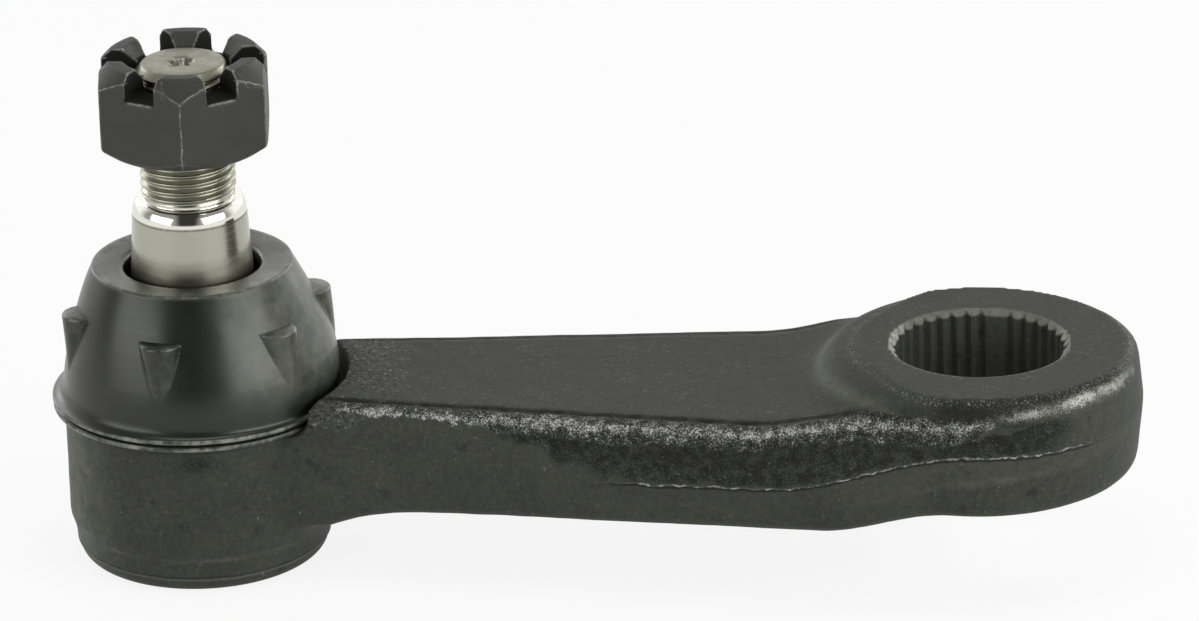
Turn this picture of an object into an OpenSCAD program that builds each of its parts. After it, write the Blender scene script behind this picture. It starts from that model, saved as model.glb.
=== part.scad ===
// Pitman arm: a forged steering arm with a splined eye at one end
// and a ball stud, dust boot and slotted nut at the other.
// The origin is on the axis of the splined bore, halfway through the eye.
// +Z runs along the bore, and the arm lies along -X.

/* [Arm] */
// Distance from the axis of the splined bore to the axis of the ball socket
arm_length = 131.5; // [118:0.5:160]
// Drop of the beam's middle below the middle of the eye
beam_drop = 5.3; // [3:0.1:7]
// Height of the beam beside the socket
beam_height_socket = 19.6; // [18:0.2:23]
// Height of the beam where it meets the eye
beam_height_eye = 18; // [16:0.2:20]
// Width of the beam beside the socket
beam_width_socket = 34; // [28:0.5:38]
// Radius of the upper forged edges
top_edge_radius = 3.5; // [2:0.25:5]
// Radius of the lower forged edges
low_edge_radius = 3; // [1:0.25:4]
// How far the side walls lean in from the parting line
side_draft = 0.8; // [0.4:0.1:1.6]
// Height of the parting line above the underside of the beam
beam_parting_height = 8.4; // [6:0.2:10]
// Height of the parting line above the underside of the eye
eye_parting_height = 11.8; // [8:0.2:13]
// Radius of the corner between the beam and the socket
socket_corner_radius = 24; // [10:1:30]
// Depth of the hollow corner between the beam's underside and the socket
under_corner_depth = 3.5; // [2:0.5:7]
// Length of the hollow corner along the beam's underside
under_corner_length = 24; // [8:1:30]

/* [Eye] */
// Outer diameter of the eye at the parting line
eye_diameter = 54.8; // [53:0.2:62]
// Thickness of the eye between its machined faces
eye_thickness = 21.2; // [19:0.2:25]
// Diameter of the machined upper face
boss_diameter = 50.2; // [46:0.2:50.6]
// Diameter of the machined lower face
lower_face_diameter = 42; // [38:0.2:48]
// Height of the upper face above the forged shoulder on the beam's side
boss_height = 3.9; // [2:0.1:5]
// Height of the upper face above the forged shoulder at the tip of the eye
tip_step = 0.4; // [0.2:0.1:1.5]
// Radius of the upper forged edge at the tip of the eye
tip_edge_radius = 1.6; // [1:0.1:3]

/* [Spline] */
// Diameter over the lands of the splined bore
land_diameter = 27.9; // [26:0.1:30]
// Depth of the grooves below the lands
groove_depth = 0.95; // [0.5:0.05:1]
// Number of spline positions round the bore, blank ones included
spline_positions = 36; // [24:4:48]
// Number of blank positions, evenly spaced
blank_positions = 4; // [1:1:4]
// Angle of one blank position from the arm's length
blank_angle = 81; // [0:1:89]
// Width of the chamfer at the mouths of the bore
mouth_chamfer = 1.1; // [0.9:0.05:1.4]

/* [Socket] */
// Outer diameter of the socket housing
housing_diameter = 45.2; // [44:0.2:48]
// Height of the socket housing below the boot seat
housing_height = 26.8; // [26:0.2:31]
// Depth of the boot seat below the top of the beam
seat_depth = 5.6; // [3:0.1:6.4]
// Radial gap round the boot lip in the machined seat
seat_gap = 0.8; // [0.4:0.1:1.5]
// Thickness of the housing's shoulder over the upper bearing
shoulder_thickness = 2.6; // [2:0.1:3.4]
// Diameter of the mouth that the stud passes through
mouth_diameter = 22.6; // [22:0.2:24]
// Diameter of the step turned at the foot of the housing
foot_diameter = 43.2; // [41:0.2:43.4]
// Height of the step at the foot of the housing
foot_height = 6.4; // [5:0.2:9]
// Step where the rolled lip starts below the housing's foot
roll_step = 0.5; // [0.2:0.1:0.8]
// Thickness of the lip rolled over the cover plate
lip_thickness = 1; // [0.6:0.1:1.4]
// Width of the rolled lip over the cover plate's edge
lip_width = 1.6; // [1:0.1:2.4]

/* [Bearing] */
// Wall of the bearings beside the ball
bearing_wall = 2.8; // [2.2:0.1:3.4]
// Floor of the lower bearing under the ball
bearing_floor = 1.8; // [1.4:0.1:2.4]
// Height of the conical disc spring
spring_height = 1.6; // [1.2:0.1:2]
// Thickness of the disc spring's steel
spring_thickness = 0.8; // [0.5:0.1:1]
// Thickness of the cover plate
cover_thickness = 1.8; // [1.2:0.1:2.2]
// Width of the cover plate's seat beyond the bearing bore
cover_ledge = 2.2; // [1.5:0.1:2.6]
// Clearance between parts that turn on each other
running_clearance = 0.05; // [0.02:0.01:0.1]

/* [Ball stud] */
// Diameter of the ball
ball_diameter = 24; // [23:0.2:25]
// Diameter of the neck above the ball
neck_diameter = 14.8; // [13:0.2:15.4]
// Height of the tip above the middle of the ball
stud_height = 68.9; // [66:0.1:74]
// Diameter at the small end of the tapered shank
taper_small_diameter = 19.2; // [18.4:0.1:20]
// Length of the tapered shank
taper_length = 20.4; // [18:0.2:24]
// Taper of the shank, as growth in diameter for each millimetre of length
taper_rate = 0.125; // [0.1:0.005:0.167]
// Height of the rounded shoulder under the thread
stud_shoulder = 2.9; // [2:0.1:3.5]
// Outside diameter of the stud's thread
thread_diameter = 16; // [15:0.5:17]
// Length of the thread
thread_length = 23.4; // [20:0.2:26]
// Diameter of the cross hole for the split pin
pin_hole_diameter = 3.6; // [3:0.1:4]
// Distance of the cross hole from the tip
pin_hole_depth = 9; // [7:0.2:11]
// Diameter of the centre mark in the tip
centre_mark_diameter = 4.8; // [3:0.1:6]

/* [Slotted nut] */
// Width across the nut's flats
nut_flats = 27.5; // [26:0.5:30]
// Height of the nut over its prongs
nut_height = 16; // [14:0.1:19]
// Depth of the slots
slot_depth = 4.5; // [3.5:0.1:6]
// Width of the slots
slot_width = 5.5; // [4:0.1:6]
// Height of the chamfer at the nut's upper corners
nut_crown = 3.5; // [1:0.1:4]
// Width of the countersink round the thread at the nut's top
nut_countersink = 2.2; // [1:0.1:3]
// Turn of the nut from the position where a slot lies along the arm
nut_angle = 6; // [0:1:59]
// Height of the nut above the start of the thread
nut_lift = 8.9; // [0.5:0.1:10]
// Radial clearance of the nut on the thread's crests
thread_clearance = 0.1; // [0.06:0.02:0.2]

/* [Dust boot] */
// Height of the boot above its seat
boot_height = 24.9; // [23:0.1:28]
// Diameter of the boot's lower wall
boot_diameter = 46.4; // [45:0.2:49]
// Diameter of the boot's top
boot_top_diameter = 33.4; // [32:0.2:36]
// Diameter of the hole in the boot's top
boot_hole_diameter = 22.9; // [22.4:0.1:25]
// Thickness of the boot's rubber
boot_wall = 2.4; // [1.8:0.1:3]
// Height at which the boot's wall starts to turn inwards
boot_wall_height = 4.5; // [3.6:0.1:7]
// Radius of the boot's wall where it turns inwards
boot_turn_radius = 16; // [8:1:18]
// Thickness of the lip at the boot's foot
boot_lip_height = 2.7; // [2:0.1:3.4]
// How far the lip stands out from the boot's wall
boot_lip_width = 1.3; // [0.8:0.1:1.6]
// Number of lugs round the boot
lug_count = 6; // [4:1:8]
// Angle of the first lug from the direction of the eye
lug_angle = 20; // [0:1:59]
// Width of a lug at its top
lug_width = 7.2; // [5:0.1:8]
// Width of a lug at its tip
lug_tip_width = 4.4; // [2:0.1:5]
// Height of the lugs' tops above the boot's seat
lug_top = 17.9; // [15:0.1:19]
// Height of the lugs' tips above the boot's seat
lug_tip = 7.2; // [6:0.1:9]

/* [Hidden] */
$fn = 96;

paint = [0.24, 0.25, 0.23];
bright_steel = [0.78, 0.77, 0.74];
dark_steel = [0.19, 0.20, 0.19];
rubber = [0.14, 0.14, 0.13];
bearing_plastic = [0.86, 0.84, 0.76];
spring_steel = [0.45, 0.46, 0.48];

// Length by which a cut runs past the face that it opens
past = 1;

eye_r = eye_diameter / 2;
eye_top = eye_thickness / 2;
eye_bottom = -eye_thickness / 2;
shoulder_top = eye_top - boss_height;
tip_top = eye_top - tip_step;
beam_top = beam_height_socket / 2 - beam_drop;
beam_bottom = -beam_height_socket / 2 - beam_drop;

housing_r = housing_diameter / 2;
socket = [-arm_length, 0];
seat_z = beam_top - seat_depth;
housing_bottom = seat_z - housing_height;
cover_z = housing_bottom + lip_thickness;
spring_z = cover_z + cover_thickness;
lower_bearing_z = spring_z + spring_height;
ball_r = ball_diameter / 2;
ball_z = lower_bearing_z + bearing_floor + ball_r;
cavity_top = seat_z - shoulder_thickness;
bearing_r = ball_r + bearing_wall;
cavity_r = bearing_r + running_clearance;
cover_r = cavity_r + cover_ledge;
ball_seat_r = ball_r + running_clearance;

tip_z = ball_z + stud_height;
thread_z = tip_z - thread_length;
taper_top = thread_z - stud_shoulder;
taper_foot = taper_top - taper_length;
taper_small_r = taper_small_diameter / 2;
taper_large_r = taper_small_r + taper_rate * taper_length / 2;
thread_r = thread_diameter / 2;
nut_z = thread_z + nut_lift;

boot_r = boot_diameter / 2;
boot_lip_r = boot_r + boot_lip_width;
boot_foot = seat_z + running_clearance;
boot_top = seat_z + boot_height;

// A lug reaches as far out as the boot's wall does at the lug's tip.
lug_turn = (lug_tip - boot_wall_height) / boot_turn_radius;
lug_reach_r = boot_r - boot_turn_radius * (1 - sqrt(1 - pow(lug_turn, 2)));

// Plan outline of the forging

// The beam's side is a straight line that starts beside the socket and touches the eye's circle.
side_start = socket + [housing_r, beam_width_socket / 2];
side_angle = asin(eye_r / norm(side_start)) - atan2(side_start.y, -side_start.x);
side_way = [cos(side_angle), sin(side_angle)];
side_normal = [-sin(side_angle), cos(side_angle)];
side_end = eye_r * side_normal;

// The corner at the socket is an arc that touches the beam's side.
// It ends a little inside the housing's wall.
corner_bite = 1.2;
corner_circle_r = housing_r - corner_bite;
corner_across = eye_r - side_normal * socket + socket_corner_radius;
corner_along = sqrt(pow(corner_circle_r + socket_corner_radius, 2) - pow(corner_across, 2));
corner_centre = socket + corner_across * side_normal + corner_along * side_way;
corner_end = corner_centre - socket_corner_radius * side_normal;

function heading(v) = atan2(v.y, v.x);
function spoke(angle) = [cos(angle), sin(angle)];

// Each outline entry is a point and its outward direction.
// A hollow arc has its centre outside the forging.
function hollow_arc(centre, r, from, to, steps) =
    [for (i = [0 : steps])
        let (a = from + (to - from) * i / steps)
        [centre + r * spoke(a), -spoke(a)]];
function round_arc(centre, r, from, to, steps) =
    [for (i = [1 : steps])
        let (a = from + (to - from) * i / steps)
        [centre + r * spoke(a), spoke(a)]];

side_steps = 24;
corner_steps = 6;
eye_steps = 26;
eye_tip_angle = 2;
half_outline = concat(
    hollow_arc(corner_centre, socket_corner_radius,
        heading(socket - corner_centre), heading(-side_normal), corner_steps),
    [for (i = [1 : side_steps])
        [corner_end + (side_end - corner_end) * i / side_steps, side_normal]],
    round_arc([0, 0], eye_r, heading(side_normal), eye_tip_angle, eye_steps)
);

// Heights of the forging along its length

// The top rises in two steps: up to the boss, then along the eye to its tip.
// Each step is a start and an end along X.
boss_rise = [-eye_r - 10.5, -eye_r + 9.5];
tip_rise = [-eye_r / 3, eye_r * 2 / 3];
under_rise = [-eye_r + 1.5, -eye_r / 6];
parting_rise = [-eye_r - 7.5, 0];

function ease(t) = let (u = min(max(t, 0), 1)) u * u * (3 - 2 * u);
function share(x, step) = ease((x - step[0]) / (step[1] - step[0]));
function mix(a, b, t) = a + (b - a) * t;

// The beam tapers in height from the socket to the eye.
function beam_half(x) =
    let (along = (x - side_start.x) / -side_start.x)
    mix(beam_height_socket, beam_height_eye, min(max(along, 0), 1)) / 2;

// Hollow corner under the beam, where its underside meets the housing.
function under_corner(x) =
    let (along = (x - side_start.x) / under_corner_length)
    under_corner_depth * pow(1 - min(max(along, 0), 1), 3);

function top_at(x) =
    mix(
        mix(beam_half(x) - beam_drop, shoulder_top, share(x, boss_rise)),
        tip_top,
        share(x, tip_rise)
    );
function edge_at(x) = mix(top_edge_radius, tip_edge_radius, share(x, tip_rise));
function under_at(x) = mix(-beam_half(x) - beam_drop, eye_bottom, share(x, under_rise));
function bottom_at(x) = under_at(x) - under_corner(x);
function parting_at(x) =
    mix(
        beam_parting_height - beam_half(x) - beam_drop,
        eye_bottom + eye_parting_height,
        share(x, parting_rise)
    );

// The section is a list of rows from top to bottom: inset and height.
edge_steps = 5;
row_count = 2 * edge_steps + 3;
function row_inset(k, x) =
    k <= edge_steps ? side_draft + edge_at(x) * (1 - sin(90 * k / edge_steps)) :
    k == edge_steps + 1 ? 0 :
    side_draft + low_edge_radius * (1 - cos(90 * (k - edge_steps - 2) / edge_steps));
function row_height(k, x) =
    k <= edge_steps ? top_at(x) - edge_at(x) * (1 - cos(90 * k / edge_steps)) :
    k == edge_steps + 1 ? parting_at(x) :
    bottom_at(x) + low_edge_radius * (1 - sin(90 * (k - edge_steps - 2) / edge_steps));

module forged_skin() {
    count = len(half_outline);
    loop = 2 * count;
    rows = [for (k = [0 : row_count - 1])
        [for (entry = half_outline)
            let (p = entry[0] - row_inset(k, entry[0].x) * entry[1])
            [p.x, p.y, row_height(k, entry[0].x)]]];
    points = [for (row = rows)
        for (j = [0 : loop - 1])
            j < count ? row[j] : [row[loop - 1 - j].x, -row[loop - 1 - j].y, row[loop - 1 - j].z]];
    last = (row_count - 1) * loop;
    sides = [for (k = [0 : row_count - 2])
        for (j = [0 : loop - 1])
            let (next = (j + 1) % loop)
            [k * loop + j, (k + 1) * loop + j, (k + 1) * loop + next, k * loop + next]];
    top_face = [for (j = [0 : count - 2])
        [j, j + 1, loop - 2 - j, loop - 1 - j]];
    bottom_face = [for (j = [0 : count - 2])
        [last + loop - 1 - j, last + loop - 2 - j, last + j + 1, last + j]];
    polyhedron(points, concat(sides, top_face, bottom_face), convexity = 6);
}

// The machined upper face stands on a short cone above the forged shoulder.
boss_lean = 0.25;
module eye_boss() {
    boss_r = boss_diameter / 2;
    boss_root = min(boss_height + past, (eye_r - side_draft - boss_r) / boss_lean);
    translate([0, 0, eye_top - boss_root])
        cylinder(h = boss_root, r1 = boss_r + boss_root * boss_lean, r2 = boss_r);
}

// The lower face is cut level into the thicker end of the beam.
module lower_face() {
    translate([0, 0, beam_bottom - past])
        cylinder(h = eye_bottom - beam_bottom + past, d = lower_face_diameter);
}

foot_step = 1.2;
foot_roll = 2.6;
module housing_body() {
    foot_r = foot_diameter / 2;
    lip_r = foot_r - roll_step;
    roll = [for (i = [0 : 5])
        let (a = 90 * i / 5)
        [lip_r - foot_roll * (1 - sin(a)), housing_bottom + foot_roll * (1 - cos(a))]];
    translate(socket)
        rotate_extrude()
            polygon(concat(
                [[0, housing_bottom]],
                roll,
                [
                    [foot_r, housing_bottom + foot_roll + roll_step],
                    [foot_r, housing_bottom + foot_height],
                    [housing_r, housing_bottom + foot_height + foot_step],
                    [housing_r, seat_z + past],
                    [0, seat_z + past]
                ]
            ));
}

// Lands, grooves between the blank positions, and a chamfer at each mouth.
module spline_bore() {
    land_r = land_diameter / 2;
    mouth_r = land_r + mouth_chamfer;
    groove_half = 0.85;
    root = 0.6;
    per_blank = spline_positions / blank_positions;
    translate([0, 0, eye_bottom - past])
        cylinder(h = eye_thickness + 2 * past, r = land_r);
    for (i = [0 : spline_positions - 1])
        if (i % per_blank != 0)
            rotate(blank_angle + i * 360 / spline_positions)
                translate([0, 0, eye_bottom - past])
                    linear_extrude(eye_thickness + 2 * past)
                        polygon([
                            [land_r - root, groove_half * (1 + root / groove_depth)],
                            [land_r - root, -groove_half * (1 + root / groove_depth)],
                            [land_r + groove_depth, 0]
                        ]);
    for (side = [0, 1])
        mirror([0, 0, side])
            translate([0, 0, eye_top - mouth_chamfer])
                cylinder(h = mouth_chamfer + past, r1 = land_r, r2 = mouth_r + past);
}

// Bearing bore, cover seat, lip opening and the mouth for the stud.
module socket_bore() {
    mouth_r = mouth_diameter / 2;
    mouth_flare = 1.2;
    translate(socket)
        rotate_extrude()
            polygon([
                [0, housing_bottom - past],
                [cover_r - lip_width, housing_bottom - past],
                [cover_r - lip_width, cover_z],
                [cover_r, cover_z],
                [cover_r, spring_z],
                [cavity_r, spring_z],
                [cavity_r, cavity_top],
                [mouth_r, cavity_top],
                [mouth_r, seat_z - mouth_flare],
                [mouth_r + mouth_flare + past, seat_z + past],
                [0, seat_z + past]
            ]);
}

module boot_seat() {
    translate([socket.x, socket.y, seat_z])
        cylinder(h = seat_depth + top_edge_radius + past, r = boot_lip_r + seat_gap);
}

module arm_forging() {
    color(paint)
        difference() {
            union() {
                forged_skin();
                eye_boss();
                housing_body();
            }
            lower_face();
            spline_bore();
            socket_bore();
            boot_seat();
        }
}

module ball_stud() {
    neck_r = neck_diameter / 2;
    neck_flare = 4.4;
    tip_chamfer = 1.2;
    shoulder_r = thread_r + 0.3;
    shoulder = [for (i = [0 : 6])
        let (a = 90 * i / 6)
        [
            shoulder_r + (taper_small_r - shoulder_r) * cos(a),
            taper_top + stud_shoulder * sin(a)
        ]];
    mark_r = centre_mark_diameter / 2;
    color(bright_steel)
        translate(socket)
            difference() {
                union() {
                    translate([0, 0, ball_z])
                        sphere(r = ball_r);
                    rotate_extrude()
                        polygon(concat(
                            [
                                [0, ball_z],
                                [neck_r, ball_z],
                                [neck_r, taper_foot - neck_flare],
                                [taper_large_r, taper_foot]
                            ],
                            shoulder,
                            [
                                [thread_r, thread_z],
                                [thread_r, tip_z - tip_chamfer],
                                [thread_r - tip_chamfer, tip_z],
                                [0, tip_z]
                            ]
                        ));
                }
                translate([0, 0, tip_z - pin_hole_depth])
                    rotate([0, 90, 0])
                        cylinder(h = 2 * thread_diameter, d = pin_hole_diameter, center = true);
                translate([0, 0, tip_z - mark_r])
                    cylinder(h = 2 * mark_r, r1 = 0, r2 = 2 * mark_r);
            }
}

module castle_nut() {
    corner_r = nut_flats / sqrt(3);
    washer_inset = 0.7;
    crown_inset = 1.1;
    washer_r = nut_flats / 2 - washer_inset;
    crown_r = nut_flats / 2 - crown_inset;
    low_chamfer = 2;
    over_r = corner_r + past / 2;
    bore_r = thread_r + thread_clearance;
    bore_chamfer = 0.9;
    color(dark_steel)
        translate([socket.x, socket.y, nut_z])
            difference() {
                intersection() {
                    rotate(30 + nut_angle)
                        cylinder(h = nut_height, r = corner_r, $fn = 6);
                    rotate_extrude()
                        polygon([
                            [0, 0],
                            [washer_r, 0],
                            [over_r, low_chamfer * (over_r - washer_r) / (corner_r - washer_r)],
                            [over_r, nut_height - nut_crown * (over_r - crown_r) / (corner_r - crown_r)],
                            [crown_r, nut_height],
                            [0, nut_height]
                        ]);
                }
                translate([0, 0, -past])
                    cylinder(h = nut_height + 2 * past, r = bore_r);
                translate([0, 0, -past])
                    cylinder(h = past + bore_chamfer, r1 = bore_r + past + bore_chamfer, r2 = bore_r);
                translate([0, 0, nut_height - nut_countersink])
                    cylinder(h = nut_countersink + past, r1 = bore_r, r2 = bore_r + nut_countersink + past);
                for (turn = [0, 60, 120])
                    rotate(turn + nut_angle)
                        translate([-nut_flats, -slot_width / 2, nut_height - slot_depth])
                            cube([2 * nut_flats, slot_width, slot_depth + past]);
            }
}

// A lug is a leaning cone with an upright outer side, a level top and its root inside the boot's wall.
module boot_lug() {
    tip_r = lug_tip_width / 2;
    top_r = lug_width / 2;
    rise = lug_top - lug_tip;
    reach = top_r - tip_r;
    root = 2;
    spare = 4;
    lean = atan2(reach, rise);
    length = norm([rise, reach]);
    growth = reach / length;
    difference() {
        translate([lug_reach_r - tip_r, 0, seat_z + lug_tip])
            rotate([0, -lean, 0])
                translate([0, 0, -root])
                    cylinder(
                        h = root + length + spare,
                        r1 = tip_r - growth * root,
                        r2 = top_r + growth * spare,
                        $fn = 32
                    );
        translate([0, -boot_r, seat_z + lug_top])
            cube([2 * boot_r, 2 * boot_r, boot_height]);
    }
}

// The boot's wall in section: an arc that starts upright, then a straight line to the given end.
function boot_wall_line(r, turn_r, end) =
    let (
        centre = [r - turn_r, seat_z + boot_wall_height],
        reach = end - centre,
        turn = heading(reach) - acos(turn_r / norm(reach))
    )
    concat([for (i = [0 : 6]) centre + turn_r * spoke(turn * i / 6)], [end]);

module dust_boot() {
    top_r = boot_top_diameter / 2;
    hole_r = boot_hole_diameter / 2;
    rim = 0.8;
    bead = 0.5;
    lip_top = boot_foot + boot_lip_height;
    lip_middle = boot_foot + boot_lip_height / 2;
    inner_r = boot_r - boot_wall;
    inner_top = boot_top - boot_wall;
    color(rubber)
        translate(socket)
            difference() {
                union() {
                    rotate_extrude()
                        polygon(concat(
                            [
                                [0, boot_foot],
                                [boot_lip_r - bead, boot_foot],
                                [boot_lip_r, boot_foot + bead],
                                [boot_lip_r, lip_middle - bead],
                                [boot_lip_r - bead, lip_middle],
                                [boot_lip_r, lip_middle + bead],
                                [boot_lip_r, lip_top - bead],
                                [boot_lip_r - bead, lip_top],
                                [boot_r, lip_top + bead]
                            ],
                            boot_wall_line(boot_r, boot_turn_radius, [top_r + rim / 2, boot_top - rim]),
                            [
                                [top_r - rim / 2, boot_top],
                                [0, boot_top]
                            ]
                        ));
                    for (i = [0 : lug_count - 1])
                        rotate(lug_angle + i * 360 / lug_count)
                            boot_lug();
                }
                rotate_extrude()
                    polygon(concat(
                        [
                            [0, boot_foot - past],
                            [inner_r, boot_foot - past]
                        ],
                        boot_wall_line(inner_r, boot_turn_radius - boot_wall, [top_r - boot_wall, inner_top]),
                        [
                            [hole_r, inner_top],
                            [hole_r, boot_top + past],
                            [0, boot_top + past]
                        ]
                    ));
            }
}

// Half of a ball seat: a ring or a cup with the ball's hollow in it.
module ball_seat(low, high) {
    rotate_extrude()
        difference() {
            translate([0, low])
                square([bearing_r, high - low]);
            translate([0, ball_z])
                circle(r = ball_seat_r);
            translate([-2 * bearing_r, low - bearing_r])
                square([2 * bearing_r, 4 * bearing_r]);
        }
}

module upper_bearing() {
    color(bearing_plastic)
        translate(socket)
            ball_seat(ball_z + running_clearance, cavity_top - running_clearance);
}

module lower_bearing() {
    color(bearing_plastic)
        translate(socket)
            ball_seat(lower_bearing_z, ball_z - running_clearance);
}

// A conical disc spring: its inner edge lifts the lower bearing.
module preload_spring() {
    outer_r = bearing_r - 1.4;
    inner_r = bearing_r / 2;
    top = lower_bearing_z - running_clearance;
    color(spring_steel)
        translate(socket)
            rotate_extrude()
                polygon([
                    [inner_r, top - spring_thickness],
                    [outer_r, spring_z],
                    [outer_r, spring_z + spring_thickness],
                    [inner_r, top]
                ]);
}

// A pressed disc with a shallow dish in its middle.
module cover_plate() {
    dish_r = cover_r / 2;
    dish_depth = 0.6;
    dish_slope = 2;
    edge_r = cover_r - running_clearance;
    color(dark_steel)
        translate(socket)
            rotate_extrude()
                polygon([
                    [0, cover_z - dish_depth],
                    [dish_r, cover_z - dish_depth],
                    [dish_r + dish_slope, cover_z],
                    [edge_r, cover_z],
                    [edge_r, spring_z],
                    [dish_r + dish_slope, spring_z],
                    [dish_r, spring_z - dish_depth],
                    [0, spring_z - dish_depth]
                ]);
}

arm_forging();
ball_stud();
castle_nut();
dust_boot();
upper_bearing();
lower_bearing();
preload_spring();
cover_plate();
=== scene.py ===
"""Visual model of a pitman arm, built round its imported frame.

All sizes in the classes are in millimetres. Meshes are scaled to metres when they become pieces.
"""

import logging
import math
import sys
from dataclasses import dataclass, field
from enum import Enum
from typing import Any, Callable, Optional

import bmesh
import bpy
import numpy as np
from mathutils import Matrix, Vector, noise

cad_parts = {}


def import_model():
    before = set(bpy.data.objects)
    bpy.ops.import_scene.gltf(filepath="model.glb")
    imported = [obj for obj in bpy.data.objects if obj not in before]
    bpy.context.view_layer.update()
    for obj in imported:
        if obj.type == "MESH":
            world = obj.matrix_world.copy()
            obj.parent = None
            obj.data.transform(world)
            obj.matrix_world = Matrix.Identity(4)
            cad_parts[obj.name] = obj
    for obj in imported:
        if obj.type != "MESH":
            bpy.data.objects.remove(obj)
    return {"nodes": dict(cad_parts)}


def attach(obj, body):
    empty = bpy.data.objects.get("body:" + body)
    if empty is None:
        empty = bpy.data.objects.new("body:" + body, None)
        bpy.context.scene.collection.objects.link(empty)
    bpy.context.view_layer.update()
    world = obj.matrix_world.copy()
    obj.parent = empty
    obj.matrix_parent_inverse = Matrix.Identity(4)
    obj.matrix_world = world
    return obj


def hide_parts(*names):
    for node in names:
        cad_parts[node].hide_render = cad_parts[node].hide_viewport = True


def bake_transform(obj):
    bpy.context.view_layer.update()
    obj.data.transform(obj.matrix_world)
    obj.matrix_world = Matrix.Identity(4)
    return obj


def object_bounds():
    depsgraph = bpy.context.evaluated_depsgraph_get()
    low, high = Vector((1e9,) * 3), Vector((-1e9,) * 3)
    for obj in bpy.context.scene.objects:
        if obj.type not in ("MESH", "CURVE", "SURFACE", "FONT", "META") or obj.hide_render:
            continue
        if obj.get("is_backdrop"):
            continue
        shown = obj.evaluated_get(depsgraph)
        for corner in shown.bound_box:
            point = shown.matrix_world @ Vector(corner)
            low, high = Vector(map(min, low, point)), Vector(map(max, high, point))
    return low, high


MM = 0.001
ARM_LENGTH = 131.5
LOG = logging.getLogger("pitman_arm")

Colour = tuple[float, float, float]
Point = tuple[float, float]
Face = tuple[int, ...]
Span = tuple[float, float, float, float]
Mark = tuple[float, tuple[float, float, float]]
Shares = dict[str, np.ndarray]


class Cut(Enum):
    """How one solid changes another."""

    UNION = "UNION"
    DIFFERENCE = "DIFFERENCE"


class Body(Enum):
    """Bodies of the frame that pieces ride on."""

    ARM = "arm"
    BEARING = "bearing"
    STUD = "stud"
    NUT = "nut"


# Shares and noise along a surface


def ease(t: Any) -> Any:
    """Smooth step of values, clamped to 0 and 1."""
    u = np.clip(t, 0.0, 1.0)
    return u * u * (3.0 - 2.0 * u)


def fade(x: Any, start: Any, end: Any) -> Any:
    """Smooth step from 0 at start to 1 at end; start may be the larger."""
    return ease((x - start) / (end - start))


def between(x: Any, start: float, full: float, ebb: float, end: float) -> Any:
    """Smooth share that is 1 from full to ebb, and 0 before start and after end."""
    return fade(x, start, full) * fade(x, end, ebb)


def bell(x: np.ndarray, width: float) -> np.ndarray:
    """Bell curve that is 1 at 0 and falls to about a third at the width."""
    return np.exp(-((x / width) ** 2))


def mix(a: Any, b: Any, t: Any) -> Any:
    """Value at a share of the way from a to b."""
    return a + (b - a) * t


def grain(points: np.ndarray, size: float, seed: float = 0.0) -> np.ndarray:
    """Smooth noise from about -1 to 1 at each point; each seed gives another pattern."""
    shift = Vector((seed * 7.3, seed * 3.1, seed * 5.7))
    return np.array([noise.noise(Vector(p) / size + shift) for p in points])


def patchy(points: np.ndarray, size: float, seed: float, level: float, swing: float) -> np.ndarray:
    """Uneven share from 0 to 1: a level that noise swings up and down."""
    return np.clip(level + swing * grain(points, size, seed), 0.0, 1.0)


# Meshes


def solid(name: str, points: np.ndarray, faces: list[Face]) -> bpy.types.Object:
    """Object with a new mesh, linked to the scene.

    Args:
        name: Name of the object and its mesh.
        points: Points as rows.
        faces: Corners of each face, as numbers of points.

    Returns:
        The new object.
    """
    mesh = bpy.data.meshes.new(name)
    mesh.from_pydata(np.asarray(points, float).reshape(-1, 3).tolist(), [], faces)
    mesh.validate()
    mesh.update()
    obj = bpy.data.objects.new(name, mesh)
    bpy.context.scene.collection.objects.link(obj)
    return obj


def sides(count: int, around: int, joined: bool = False) -> list[Face]:
    """Faces between neighbouring rings of points.

    Args:
        count: Number of rings.
        around: Number of points round each ring.
        joined: True where the last ring joins the first one.

    Returns:
        The faces, for points that are numbered ring by ring.
    """
    faces: list[Face] = []
    for k in range(count if joined else count - 1):
        low = k * around
        high = ((k + 1) % count) * around
        for j in range(around):
            n = (j + 1) % around
            faces.append((low + j, low + n, high + n, high + j))
    return faces


def loft(name: str, rings: np.ndarray, joined: bool = False) -> bpy.types.Object:
    """Closed solid through rings of points.

    Args:
        name: Name of the object.
        rings: Array of rings, points and coordinates; each ring runs anticlockwise seen from its far side.
        joined: True where the last ring joins the first one; otherwise both ends are closed with fans.

    Returns:
        The new object.
    """
    count, around, _ = rings.shape
    points = rings.reshape(-1, 3)
    faces = sides(count, around, joined)
    if not joined:
        first, last = len(points), len(points) + 1
        top = (count - 1) * around
        points = np.vstack([points, rings[0].mean(axis=0), rings[-1].mean(axis=0)])
        for j in range(around):
            n = (j + 1) % around
            faces.append((first, n, j))
            faces.append((last, top + j, top + n))
    return solid(name, points, faces)


def full_turn(count: int) -> np.ndarray:
    """Even angles round a full turn."""
    return np.linspace(0.0, 2.0 * math.pi, count, endpoint=False)


def ring(r: Any, angle: np.ndarray, z: float, shift: float = 0.0) -> np.ndarray:
    """Ring of points at a height, moved along X by a shift; the radius may change with the angle."""
    return np.column_stack([r * np.cos(angle) + shift, r * np.sin(angle), np.full_like(angle, z)])


def turned(profile: list[Point], around: int) -> np.ndarray:
    """Rings of a body of revolution about Z, from the radius and height of each ring."""
    angle = full_turn(around)
    return np.array([ring(r, angle, z) for r, z in profile])


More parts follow.
